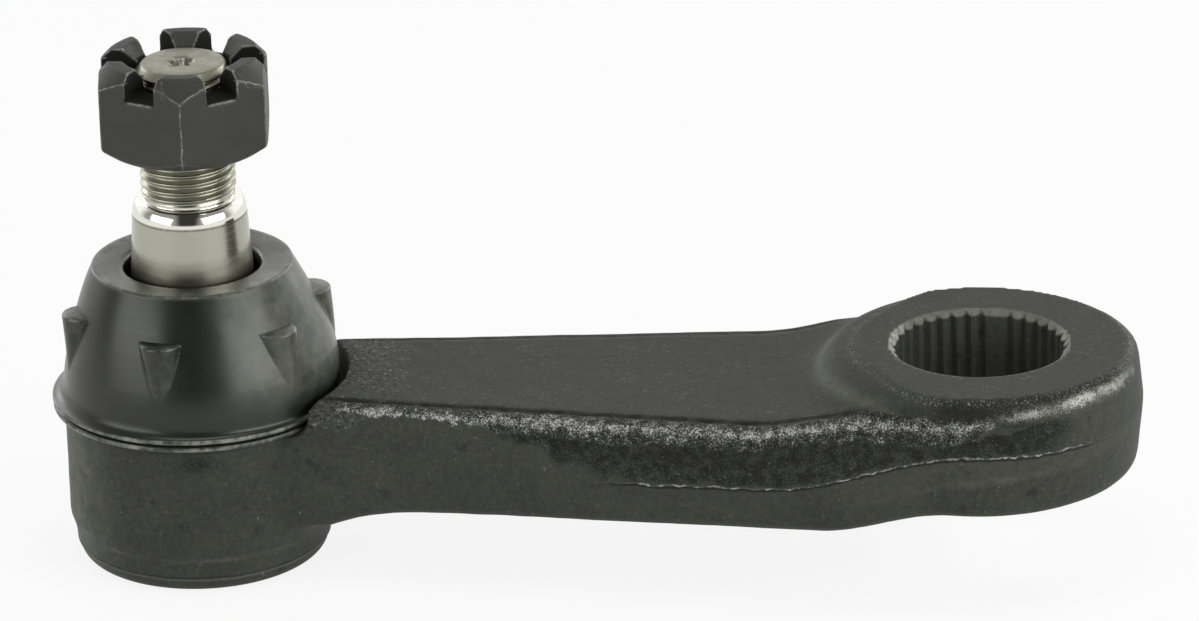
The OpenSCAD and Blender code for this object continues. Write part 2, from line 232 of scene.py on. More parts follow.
def revolve(
    name: str, profile: list[Point], around: int, x: float = 0.0, joined: bool = False
) -> bpy.types.Object:
    """Body of revolution about an upright axis.

    Args:
        name: Name of the object.
        profile: Radius and height of each ring.
        around: Number of points round each ring.
        x: Place of the axis along X.
        joined: True where the profile is closed in itself.

    Returns:
        The new object.
    """
    made = loft(name, turned(profile, around), joined)
    made.data.transform(Matrix.Translation((x, 0.0, 0.0)))
    return made


def arc(centre: Point, r: float, start: float, end: float, steps: int) -> list[Point]:
    """Points of an arc from start to end, in degrees."""
    angles = np.radians(np.linspace(start, end, steps + 1))
    return [(centre[0] + r * math.cos(a), centre[1] + r * math.sin(a)) for a in angles]


def settle(obj: bpy.types.Object) -> None:
    """Apply an object's modifiers to its mesh.

    Args:
        obj: Object to change.
    """
    graph = bpy.context.evaluated_depsgraph_get()
    mesh = bpy.data.meshes.new_from_object(obj.evaluated_get(graph))
    old = obj.data
    obj.modifiers.clear()
    obj.data = mesh
    bpy.data.meshes.remove(old)


def combine(obj: bpy.types.Object, tool: bpy.types.Object, cut: Cut) -> None:
    """Join a tool to an object or cut it out of it, and remove the tool.

    Args:
        obj: Object to change.
        tool: The other solid.
        cut: Whether the tool is added or taken away.
    """
    change = obj.modifiers.new("change", "BOOLEAN")
    change.object = tool
    change.operation = cut.value
    change.solver = "MANIFOLD"
    settle(obj)
    bpy.data.objects.remove(tool)


def clear_slivers(obj: bpy.types.Object, gap: float = 0.004) -> None:
    """Merge points closer than a gap and remove faces without area or back to back.

    Args:
        obj: Object whose mesh is cleared.
        gap: Distance in millimetres under which points are merged.
    """
    made = bmesh.new()
    made.from_mesh(obj.data)
    bmesh.ops.remove_doubles(made, verts=made.verts, dist=gap)
    bmesh.ops.dissolve_degenerate(made, edges=made.edges, dist=gap)
    bmesh.ops.triangulate(made, faces=made.faces)
    made.verts.index_update()
    first: dict[frozenset[int], bmesh.types.BMFace] = {}
    twins: list[bmesh.types.BMFace] = []
    for face in made.faces:
        corners = frozenset(vert.index for vert in face.verts)
        if corners in first:
            twins += [first[corners], face]
        else:
            first[corners] = face
    bmesh.ops.delete(made, geom=twins, context="FACES")
    made.to_mesh(obj.data)
    made.free()
    obj.data.update()


def even_out(obj: bpy.types.Object, size: float) -> None:
    """Rebuild an object's surface as an even mesh of small faces.

    Args:
        obj: Object to change.
        size: Width of the faces.
    """
    change = obj.modifiers.new("even", "REMESH")
    change.mode = "VOXEL"
    change.voxel_size = size
    settle(obj)


def coordinates(mesh: bpy.types.Mesh) -> np.ndarray:
    """Vertex positions.

    Args:
        mesh: Mesh to read.

    Returns:
        The positions as rows.
    """
    values = np.empty(len(mesh.vertices) * 3)
    mesh.vertices.foreach_get("co", values)
    return values.reshape(-1, 3)


def directions(mesh: bpy.types.Mesh) -> np.ndarray:
    """Vertex normals.

    Args:
        mesh: Mesh to read.

    Returns:
        The normals as rows.
    """
    values = np.empty(len(mesh.vertices) * 3)
    mesh.vertex_normals.foreach_get("vector", values)
    return values.reshape(-1, 3)


def place(mesh: bpy.types.Mesh, points: np.ndarray) -> None:
    """Move a mesh's vertices to the given points."""
    mesh.vertices.foreach_set("co", points.ravel())
    mesh.update()


def soften(mesh: bpy.types.Mesh, passes: int, hollows_only: bool = False, share: Any = 1.0) -> None:
    """Smooth a mesh towards the mean of each vertex's neighbours.

    Args:
        mesh: Mesh to change.
        passes: Number of passes.
        hollows_only: True to fill only hollow corners, as a fillet does.
        share: How far each vertex takes part, from 0 to 1.
    """
    count = len(mesh.vertices)
    ends = np.empty(len(mesh.edges) * 2, dtype=np.int64)
    mesh.edges.foreach_get("vertices", ends)
    a, b = ends.reshape(-1, 2).T
    degree = np.bincount(a, minlength=count) + np.bincount(b, minlength=count)
    points = coordinates(mesh)
    for step in range(passes):
        total = np.column_stack([
            np.bincount(a, points[b, k], count) + np.bincount(b, points[a, k], count) for k in range(3)
        ])
        move = 0.5 * np.reshape(share, (-1, 1)) * (total / degree[:, None] - points)
        if hollows_only:
            if step % 4 == 0:
                place(mesh, points)
                normal = directions(mesh)
            move[np.einsum("ij,ij->i", move, normal) < 0.0] = 0.0
        points = points + move
    place(mesh, points)


def keep(mesh: bpy.types.Mesh, shares: Shares) -> None:
    """Keep values for each vertex under names that materials can read.

    Args:
        mesh: Mesh to change.
        shares: One value for each vertex, by name.
    """
    for name, values in shares.items():
        layer = mesh.attributes.new(name, "FLOAT", "POINT")
        layer.data.foreach_set("value", np.asarray(values, np.float32))


# Shader nodes


@dataclass(frozen=True)
class Value:
    """Output of a node that can be reckoned with like a number."""

    graph: "Graph"
    socket: bpy.types.NodeSocket

    def __add__(self, other: Any) -> "Value":
        """Sum with a value or a number."""
        return self.graph.math("ADD", self, other)

    def __sub__(self, other: Any) -> "Value":
        """Difference from a value or a number."""
        return self.graph.math("SUBTRACT", self, other)

    def __mul__(self, other: Any) -> "Value":
        """Product with a value or a number."""
        return self.graph.math("MULTIPLY", self, other)

    def larger(self, other: Any) -> "Value":
        """The larger of this and another value."""
        return self.graph.math("MAXIMUM", self, other)

    def span(self, low: float, high: float, out_low: float = 0.0, out_high: float = 1.0) -> "Value":
        """This value taken from one span to another, and clamped.

        Args:
            low: Value that gives out_low.
            high: Value that gives out_high.
            out_low: Result at and beyond low.
            out_high: Result at and beyond high.

        Returns:
            The new value.
        """
        ends = {"From_Min": low, "From_Max": high, "To_Min": out_low, "To_Max": out_high}
        made = self.graph.node("ShaderNodeMapRange", Value=self, **ends)
        return Value(self.graph, made.outputs["Result"])

    def near(self, middle: float, inner: float, outer: float) -> "Value":
        """1 where this is within inner of the middle, falling to 0 at outer."""
        off = self.graph.math("ABSOLUTE", self - middle, 0.0)
        return off.span(inner, outer, 1.0, 0.0)


Layer = tuple[Value, Any]


class Graph:
    """Small helper to write a material's or world's nodes."""

    def __init__(self, tree: bpy.types.NodeTree) -> None:
        """Start with an empty tree.

        Args:
            tree: Tree to write.
        """
        self.tree = tree
        self.tree.nodes.clear()
        self.here: Optional[Value] = None

    def connect(self, value: Any, socket: bpy.types.NodeSocket) -> None:
        """Link a value to an input, or set the input to a constant.

        Args:
            value: Value, socket, number or vector.
            socket: Input of a node.
        """
        start = value.socket if isinstance(value, Value) else value
        if isinstance(start, bpy.types.NodeSocket):
            self.tree.links.new(start, socket)
        else:
            socket.default_value = start

    def feed(self, node: bpy.types.Node, **values: Any) -> None:
        """Set a node's properties and inputs.

        Args:
            node: Node to change.
            values: Properties and inputs; an input's name has _ for each space.
        """
        for key, value in values.items():
            socket = node.inputs.get(key.replace("_", " "))
            if socket is None:
                setattr(node, key, value)
            else:
                self.connect(value, socket)

    def node(self, kind: str, **values: Any) -> bpy.types.Node:
        """New node.

        Args:
            kind: Type of the node.
            values: Properties and inputs, as for feed().

        Returns:
            The new node.
        """
        made = self.tree.nodes.new(kind)
        self.feed(made, **values)
        return made

    def math(self, operation: str, a: Any, b: Any) -> Value:
        """Result of a two-value operation.

        Args:
            operation: Name of the operation.
            a: First value or number.
            b: Second value or number.

        Returns:
            The result.
        """
        made = self.node("ShaderNodeMath", operation=operation)
        for value, socket in zip((a, b), made.inputs):
            self.connect(value, socket)
        return Value(self, made.outputs[0])

    def split(self, vector: bpy.types.NodeSocket) -> dict[str, Value]:
        """X, Y and Z of a vector."""
        made = self.node("ShaderNodeSeparateXYZ", Vector=vector)
        return {axis: Value(self, made.outputs[axis]) for axis in "XYZ"}

    def rays(self, *kinds: str) -> Value:
        """Tell rays apart by what they carry.

        Args:
            kinds: Names of outputs of the light path.

        Returns:
            1 for rays of the named kinds and 0 for the others.
        """
        light = self.node("ShaderNodeLightPath")
        found = Value(self, light.outputs[kinds[0]])
        for kind in kinds[1:]:
            found = found.larger(Value(self, light.outputs[kind]))
        return found

    def place(self, stretch: tuple[float, float, float] = (1.0, 1.0, 1.0), turn: float = 0.0) -> Value:
        """Object coordinates in millimetres.

        Args:
            stretch: How far a pattern is stretched along each axis.
            turn: Turn about Y and Z, in degrees.

        Returns:
            The coordinates.
        """
        where = self.node("ShaderNodeTexCoord").outputs["Object"]
        if turn:
            angles = (0.0, math.radians(turn), math.radians(turn))
            where = self.node("ShaderNodeMapping", Vector=where, Rotation=angles).outputs["Vector"]
        scale = tuple(1.0 / (MM * s) for s in stretch)
        return Value(self, self.node("ShaderNodeMapping", Vector=where, Scale=scale).outputs["Vector"])

    def noise(
        self, size: float, detail: float = 3.0, rough: float = 0.55, where: Optional[Value] = None
    ) -> Value:
        """Noise over the surface.

        Args:
            size: Width of the features in millimetres.
            detail: Number of finer octaves.
            rough: Strength of the finer octaves.
            where: Coordinates from place(), or None for plain ones.

        Returns:
            The noise, from 0 to 1 round 0.5.
        """
        if where is None:
            self.here = self.here or self.place()
            where = self.here
        made = self.node("ShaderNodeTexNoise", Vector=where, Scale=1.0 / size, Detail=detail, Roughness=rough)
        return Value(self, made.outputs[0])

    def kept(self, name: str) -> Value:
        """Value that keep() put on the mesh."""
        return Value(self, self.node("ShaderNodeAttribute", attribute_name=name).outputs["Fac"])

    def blend(self, base: Any, *layers: Layer) -> Value:
        """Colour with layers of other colours over it.

        Args:
            base: Colour at the bottom.
            layers: Share and colour of each layer, from the lowest up.

        Returns:
            The mixed colour.
        """
        for share, colour in layers:
            made = self.node("ShaderNodeMix", data_type="RGBA", blend_type="MIX")
            for index, value in ((0, share), (6, base), (7, colour)):
                self.connect((*value, 1.0) if isinstance(value, tuple) else value, made.inputs[index])
            base = Value(self, made.outputs[2])
        return base

    def bump(self, height: Value, depth: float, strength: Any = 1.0, under: Optional[Value] = None) -> Value:
        """Normal with a relief.

        Args:
            height: Relief from 0 to 1.
            depth: Depth of the relief in millimetres.
            strength: Share of the relief.
            under: Normal that the relief lies on, if any.

        Returns:
            The normal.
        """
        made = self.node("ShaderNodeBump", Distance=depth * MM, Height=height, Strength=strength)
        if under is not None:
            self.connect(under, made.inputs["Normal"])
        return Value(self, made.outputs["Normal"])


# Finishes


@dataclass(frozen=True)
class Finish:
    """A surface finish; each kind adds its own nodes."""

    name: str
    colour: Colour
    roughness: float

    def shade(self, factor: float) -> Colour:
        """The finish's colour, lighter or darker by a factor."""
        return tuple(factor * c for c in self.colour)

    def material(self) -> bpy.types.Material:
        """Make a material with this finish.

        Returns:
            The new material.
        """
        made = bpy.data.materials.new(self.name)
        made.use_nodes = True
        graph = Graph(made.node_tree)
        shader = graph.node("ShaderNodeBsdfPrincipled")
        graph.node("ShaderNodeOutputMaterial", Surface=shader.outputs["BSDF"])
        self.dress(graph, shader)
        made.diffuse_color = (*self.colour, 1.0)
        return made

    def dress(self, graph: Graph, shader: bpy.types.Node) -> None:
        """Add the finish's own nodes."""
        raise NotImplementedError


@dataclass(frozen=True)
class ForgedPaint(Finish):
    """Thin satin paint over a forging: smooth walls, grainy edges, worn flash, machined mouths, and painted
    glints, highlights and shade.
    """

    # Colour of scratches, also a painted highlight under the lip's crease and on the eye's shoulder.
    scratch_and_highlight: Colour = (0.170, 0.173, 0.152)
    # Dark grain colour, also painted shade in the edge groove and the lip's crease and a painted shadow under
    # the flash.
    dark_grain_and_shade: Colour = (0.010, 0.011, 0.009)
    grain_mid: Colour = (0.070, 0.073, 0.064)
    # Colour of painted glints on the grainy band and on the eye's shoulder.
    painted_glint: Colour = (0.560, 0.565, 0.525)
    scale_light: Colour = (0.042, 0.045, 0.038)
    # Bare metal colour, also a painted highlight on the sides of the spline mouths.
    bare_and_highlight: Colour = (0.300, 0.300, 0.272)
    machined: Colour = (0.180, 0.183, 0.156)
    specular: float = 0.13
    scratches: tuple[Mark, ...] = (
        (9.0, (2.6, 0.22, 0.22)),
        (-31.0, (2.2, 0.22, 0.22)),
        (58.0, (1.6, 0.22, 0.22)),
    )
    nicks: tuple[Mark, ...] = (
        (14.0, (0.36, 0.36, 1.5)),
        (-64.0, (1.3, 1.3, 0.34)),
        (82.0, (0.36, 0.36, 1.1)),
    )

    def marks(
        self, graph: Graph, marks: tuple[Mark, ...], line: Span, patch: Point, on: Value
    ) -> list[Layer]:
        """Layers of short pale marks.

        Args:
            graph: Graph of the material.
            marks: Turn and stretch of each set of marks.
            line: Span of the noise that draws the marks, and of their strength.
            patch: Span of the wider noise that bounds the patches with marks.
            on: Share of the surface that takes marks.

        Returns:
            Layers for blend().
        """
        layers: list[Layer] = []
        for turn, stretch in marks:
            drawn = graph.noise(1.0, 1.0, 0.5, graph.place(stretch, turn)).span(*line)
            where = graph.noise(7.0, 2.0, 0.5, graph.place(turn=turn)).span(*patch)
            layers.append((drawn * (where * on), self.scratch_and_highlight))
        return layers

    def plain(self, graph: Graph, cloud: Value) -> Value:
        """Mottled paint with short scratches and specks.

        Args:
            graph: Graph of the material.
            cloud: Wide noise that lightens and darkens the paint.

        Returns:
            The paint's colour.
        """
        level = graph.split(graph.node("ShaderNodeNewGeometry").outputs["Normal"])["Z"]
        up = level.span(0.2, 0.8, 0.22, 1.0)
        side = level.span(0.2, 0.6, 1.0, 0.0)
        mist = graph.noise(0.9, 4.0, 0.7).span(0.42, 0.70, 0.0, 0.42)
        blots = graph.noise(4.5, 4.0, 0.65).span(0.61, 0.68, 0.0, 0.42)
        pits = graph.noise(0.8, 2.0, 0.5)
        return graph.blend(
            self.shade(0.80),
            (cloud.span(0.32, 0.68), self.shade(1.20)),
            (mist, self.shade(1.9)),
            *self.marks(graph, self.scratches, (0.68, 0.75, 0.0, 1.0), (0.48, 0.60), up),
            (blots * side, self.dark_grain_and_shade),
            *self.marks(graph, self.nicks, (0.74, 0.79, 0.0, 0.8), (0.49, 0.58), side),
            (pits.span(0.25, 0.20) * up, self.dark_grain_and_shade),
            (pits.span(0.77, 0.82, 0.0, 0.8) * up, self.bare_and_highlight),
        )

    def lines(self, graph: Graph) -> list[Layer]:
        """Painted shade in the edge groove and the lip's crease, a painted highlight below the crease, and
        the pale flash with a painted shadow under it.

        Args:
            graph: Graph of the material.

        Returns:
            Layers for blend().
        """
        wave = graph.noise(2.4, 3.0, 0.6)
        off = {
            name: graph.kept(name) + wave.span(0.2, 0.8, -wander, wander)
            for name, wander in (("groove", 0.46), ("crease", 0.16), ("flash", 0.36))
        }
        on = {name: graph.kept(name + "_on") for name in off}
        broken = graph.noise(1.3, 3.0, 0.65).span(0.47, 0.62, 0.08, 1.0)
        return [
            # Painted shade in the groove along the upper edges.
            (off["groove"].near(0.05, 0.38, 1.05) * on["groove"] * 0.92, self.dark_grain_and_shade),
            # Painted shade in the crease over the rolled lip, and a painted highlight on the roll just under
            # it.
            (off["crease"].near(0.12, 0.10, 0.36) * on["crease"] * 0.6, self.dark_grain_and_shade),
            (off["crease"].near(-0.36, 0.08, 0.34) * on["crease"] * 0.35, self.scratch_and_highlight),
            # Painted shadow under the flash ridge, then the pale flash itself.
            (off["flash"].near(-0.26, 0.10, 0.36) * on["flash"] * 0.85, self.dark_grain_and_shade),
            (off["flash"].near(0.05, 0.06, 0.19) * on["flash"] * broken, self.bare_and_highlight),
        ]

    def dress(self, graph: Graph, shader: bpy.types.Node) -> None:
        """Paint, then the grain, wear and machined zones that the mesh keeps, with painted glints, highlights
        and shade.

        Args:
            graph: Graph of the material.
            shader: Principled shader to feed.
        """
        cloud = graph.noise(15.0, 5.0, 0.6)
        fine = graph.noise(0.27, 3.0, 0.7)
        patch = graph.noise(1.5, 4.0, 0.65)
        ragged = patch.span(0.2, 0.8, -0.48, 0.48)
        soft_edge = {"band": (0.36, 0.60), "scale": (0.25, 0.85), "scar": (0.35, 0.75)}
        zone = {name: (graph.kept(name) + ragged).span(*edge) for name, edge in soft_edge.items()}
        # Painted glints: light specks over the band's grain, brightest along its crest, stand in for
        # highlights.
        lit = fine + graph.kept("painted_crest") * 0.14 + patch.span(0.28, 0.72, -0.17, 0.06)
        grain_and_glints = graph.blend(
            self.dark_grain_and_shade, (lit.span(0.40, 0.54), self.grain_mid), (lit.span(0.55, 0.72), self.painted_glint)
        )
        blotch = patch * 0.55 + fine * 0.45
        scaled = graph.blend(
            self.dark_grain_and_shade,
            (blotch.span(0.45, 0.58), self.scale_light),
            (fine.span(0.62, 0.70, 0.0, 0.9), self.scratch_and_highlight),
            (graph.kept("scale").span(1.0, 1.6, 0.0, 0.22), self.dark_grain_and_shade),
        )
        cross = graph.noise(1.0, 4.0, 0.65, graph.place((0.6, 1.3, 0.6), -24.0))
        chips = graph.noise(1.0, 4.0, 0.65, graph.place((1.5, 0.5, 0.5), 35.0)).larger(cross - 0.04)
        torn = graph.blend(
            self.dark_grain_and_shade, (chips.span(0.40, 0.54), self.grain_mid), (chips.span(0.59, 0.68), self.bare_and_highlight)
        )
        # Painted highlight on the eye's right shoulder: a pale colour under painted glints.
        painted_shine_colour = graph.blend(self.scratch_and_highlight, (lit.span(0.48, 0.62), self.painted_glint))
        worked = graph.noise(2.0, 4.0, 0.6).span(0.3, 0.7, 0.40, 1.0)
        paint = graph.blend(
            self.plain(graph, cloud),
            # Painted light: the paint 3.3 times lighter for the boss fillet's highlight and the housing's lit
            # left side, and for pale lines.
            (graph.kept("pale") * patch.span(0.3, 0.7, 0.25, 0.85), self.shade(3.3)),
            (zone["scale"] * 0.94, scaled),
            (zone["scar"] * 0.85, torn),
            (zone["band"], grain_and_glints),
            *self.lines(graph),
            (graph.kept("painted_shine") * lit.span(0.36, 0.56), painted_shine_colour),
            (graph.kept("mouth") * worked, self.machined),
            (graph.kept("rim") * fine.span(0.56, 0.66), self.bare_and_highlight),
            # Painted highlight on the left and right of each spline mouth's chamfer.
            (graph.kept("ends") * patch.span(0.40, 0.56), self.bare_and_highlight),
        )
        rough = cloud.span(0.3, 0.7, self.roughness - 0.05, self.roughness + 0.07) - zone["band"] * 0.14
        coarse = zone["band"].larger(zone["scale"]).larger(zone["scar"])
        skin = graph.bump(fine, 0.035, 0.55, graph.bump(graph.noise(2.6, 3.0, 0.5), 0.08, 0.6))
        graph.feed(
            shader,
            Base_Color=paint,
            Roughness=rough,
            Specular_IOR_Level=self.specular,
            Specular_Tint=(1.0, 1.0, 0.9, 1.0),
            Normal=graph.bump(blotch + chips, 0.46, coarse, skin),
        )


@dataclass(frozen=True)
class TurnedSteel(Finish):
    """Bright ground steel with fine turning marks, a duller stained lower band, painted shade on the thread
    and in the punched mark, and a dark line at the foot of the shoulder.
    """

    bright: Colour = (0.780, 0.775, 0.700)
    # Stained tone of the lower shank, also used as painted shade on the thread.
    darker_tone: Colour = (0.270, 0.262, 0.200)
    # Painted shade in the punched mark, and a dark line at the foot of the shoulder.
    mark_shade_and_line: Colour = (0.070, 0.070, 0.058)

    def dress(self, graph: Graph, shader: bpy.types.Node) -> None:
        """Metal with rings of turning marks, a polished shoulder, and stained places, painted shade and a
        dark line where the mesh keeps them.

        Args:
            graph: Graph of the material.
            shader: Principled shader to feed.
        """
        rings = graph.noise(1.0, 2.0, 0.5, graph.place((30.0, 30.0, 0.10)))
        cloud = graph.noise(3.0, 4.0, 0.65)
        stain_and_shade = graph.kept("stain_and_shade")
        polish = graph.kept("polish")
        metal = graph.blend(
            self.colour,
            (stain_and_shade * cloud.span(0.32, 0.68, 0.25, 1.0), self.darker_tone),
            (polish, self.bright),
            (graph.kept("mark_shade_and_line") * graph.noise(0.8).span(0.35, 0.6, 0.5, 1.0), self.mark_shade_and_line),
        )
        ground = rings.span(0.3, 0.7, self.roughness - 0.04, self.roughness + 0.06) + stain_and_shade * 0.14
        graph.feed(
            shader,
            Base_Color=metal,
            Metallic=1.0,
            Roughness=ground * polish.span(0.0, 1.0, 1.0, 0.45),
            Normal=graph.bump(cloud, 0.014, 0.35, graph.bump(rings, 0.006, 0.6)),
        )


@dataclass(frozen=True)
class DarkSteel(Finish):
    """Dark phosphated steel with pale rubbed edges and painted shade inside."""

    rubbed: Colour = (0.300, 0.300, 0.270)
    specular: float = 0.32

    def dress(self, graph: Graph, shader: bpy.types.Node) -> None:
        """Even dark coat, faint mottling, painted shade inside, and edges rubbed where the mesh keeps them.

        Args:
            graph: Graph of the material.
            shader: Principled shader to feed.
        """
        cloud = graph.noise(6.0, 4.0, 0.6)
        fine = graph.noise(0.35, 3.0, 0.6)
        inside = graph.kept("inside")
        wave = graph.noise(2.2, 3.0, 0.6).span(0.25, 0.75, -0.30, 0.30)
        broken = graph.noise(1.7, 3.0, 0.6).span(0.40, 0.62, 0.10, 0.8)
        edge = graph.kept("worn")
        for name in ("corner", "crown"):
            line = (graph.kept(name) + wave).near(0.0, 0.05, 0.20)
            edge = edge.larger(line * graph.kept("outside") * broken)
        coat = graph.blend(
            self.shade(0.86),
            (cloud.span(0.3, 0.7), self.shade(1.16)),
            # Painted shade: the coat almost black inside the slots and the bore.
            (inside, self.shade(0.06)),
            (edge * fine.span(0.36, 0.60, 0.25, 1.0), self.rubbed),
        )
        rough = cloud.span(0.3, 0.7, self.roughness - 0.05, self.roughness + 0.06)
        graph.feed(
            shader,
            Base_Color=coat,
            Roughness=rough + inside * 0.4,
            Specular_IOR_Level=self.specular,
            Specular_Tint=(1.0, 1.0, 0.9, 1.0),
            Normal=graph.bump(fine, 0.03, 0.6),
        )


@dataclass(frozen=True)
class MouldedRubber(Finish):
    """Satin moulded rubber with scuffs, painted sheen, pale worn edges and fine rings."""

    scuff: Colour = (0.045, 0.048, 0.040)
    edge: Colour = (0.250, 0.255, 0.222)
    # Colour of the painted highlight and reflection on the boot's right flank and top.
    dust: Colour = (0.112, 0.117, 0.096)
    specular: float = 0.44

    def dress(self, graph: Graph, shader: bpy.types.Node) -> None:
        """Dark rubber, level scuffs, painted sheen, worn edges and mould rings.

        Args:
            graph: Graph of the material.
            shader: Principled shader to feed.
        """
        cloud = graph.noise(9.0, 4.0, 0.6)
        rings = graph.noise(1.0, 3.0, 0.55, graph.place((16.0, 16.0, 0.55)))
        fine = graph.noise(0.40, 3.0, 0.6)
        marks = graph.noise(1.0, 3.0, 0.6, graph.place((2.6, 2.6, 0.28)))
        # Painted highlight on the flank towards the eye and painted reflection on the top.
        painted_sheen_mask = graph.kept("dust") * graph.noise(2.8, 5.0, 0.65).span(0.32, 0.66, 0.3, 1.0)
        worn = graph.kept("worn") * graph.noise(1.6, 4.0, 0.65).span(0.36, 0.60, 0.1, 1.0)
        rubber = graph.blend(
            self.shade(0.85),
            (cloud.span(0.35, 0.7), self.shade(1.25)),
            (marks.span(0.64, 0.76) * cloud.span(0.48, 0.66, 0.0, 0.6), self.scuff),
            (painted_sheen_mask, self.dust),
            (worn * graph.noise(5.5, 3.0, 0.6).span(0.42, 0.58, 0.18, 1.0), self.edge),
        )
        relief = graph.bump(marks, 0.022, 0.12, graph.bump(rings, 0.03, 0.16))
        graph.feed(
            shader,
            Base_Color=rubber,
            Roughness=rings.span(0.3, 0.7, self.roughness - 0.02, self.roughness + 0.03),
            Specular_IOR_Level=self.specular,
            Specular_Tint=(0.98, 1.0, 0.92, 1.0),
            Normal=graph.bump(fine, 0.016, 0.5, relief),
        )


@dataclass(frozen=True)
class Clouded(Finish):
    """Plain plastic or metal with cloudy colour and a fine grain."""

    metallic: float
    dark: float
    swing: float
    cloud_size: float
    grain_size: float
    grain_depth: float

    def dress(self, graph: Graph, shader: bpy.types.Node) -> None:
        """Cloudy colour and roughness over a fine grain.

        Args:
            graph: Graph of the material.
            shader: Principled shader to feed.
        """
        cloud = graph.noise(self.cloud_size, 3.0, 0.5)
        graph.feed(
            shader,
            Base_Color=graph.blend(self.shade(self.dark), (cloud.span(0.3, 0.7), self.colour)),
            Metallic=self.metallic,
            Roughness=cloud.span(0.3, 0.7, self.roughness - self.swing, self.roughness + self.swing),
            Normal=graph.bump(graph.noise(self.grain_size), self.grain_depth, 0.5),
        )


PAINT = ForgedPaint("satin_forged_paint", (0.0370, 0.0390, 0.0318), 0.56)
BRIGHT = TurnedSteel("bright_turned_steel", (0.395, 0.400, 0.330), 0.22)
DARK = DarkSteel("dark_phosphated_steel", (0.0298, 0.0313, 0.0264), 0.52)
RUBBER = MouldedRubber("moulded_boot_rubber", (0.0100, 0.0114, 0.0086), 0.29)
PLASTIC = Clouded("bearing_plastic", (0.720, 0.700, 0.620), 0.45, 0.0, 0.9, 0.05, 4.0, 0.3, 0.01)
SPRING = Clouded("spring_steel", (0.300, 0.310, 0.330), 0.35, 1.0, 0.8, 0.06, 3.0, 0.25, 0.008)


def dress(obj: bpy.types.Object, finish: Finish) -> None:
    """Give an object one finish.

    Args:
        obj: Object to dress.
        finish: Finish that it gets.
    """
    if obj.material_slots:
        obj.material_slots[0].material = finish.material()
    else:
        obj.data.materials.append(finish.material())


def present(obj: bpy.types.Object, finish: Finish, angle: float, x: float = 0.0) -> None:
    """Bring a mesh to its place in metres, shade it smooth and give it its finish.

    Args:
        obj: Object in millimetres.
        finish: Finish that it gets.
        angle: Angle in degrees above which edges stay sharp.
        x: Move along X in millimetres.
    """
    obj.data.transform(Matrix.Scale(MM, 4) @ Matrix.Translation((x, 0.0, 0.0)))
    obj.data.update()
    obj.data.shade_smooth()
    obj.data.set_sharp_from_angle(angle=math.radians(angle))
    dress(obj, finish)


def deliver(obj: bpy.types.Object, node: str) -> None:
    """Hide the solid that a finished piece stands for, and log the piece's size.

    Args:
        obj: The piece, in metres.
        node: Solid that the piece stands for.
    """
    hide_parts(node)
    LOG.info("%s: %d vertices, %d faces", obj.name, len(obj.data.vertices), len(obj.data.polygons))


# The arm


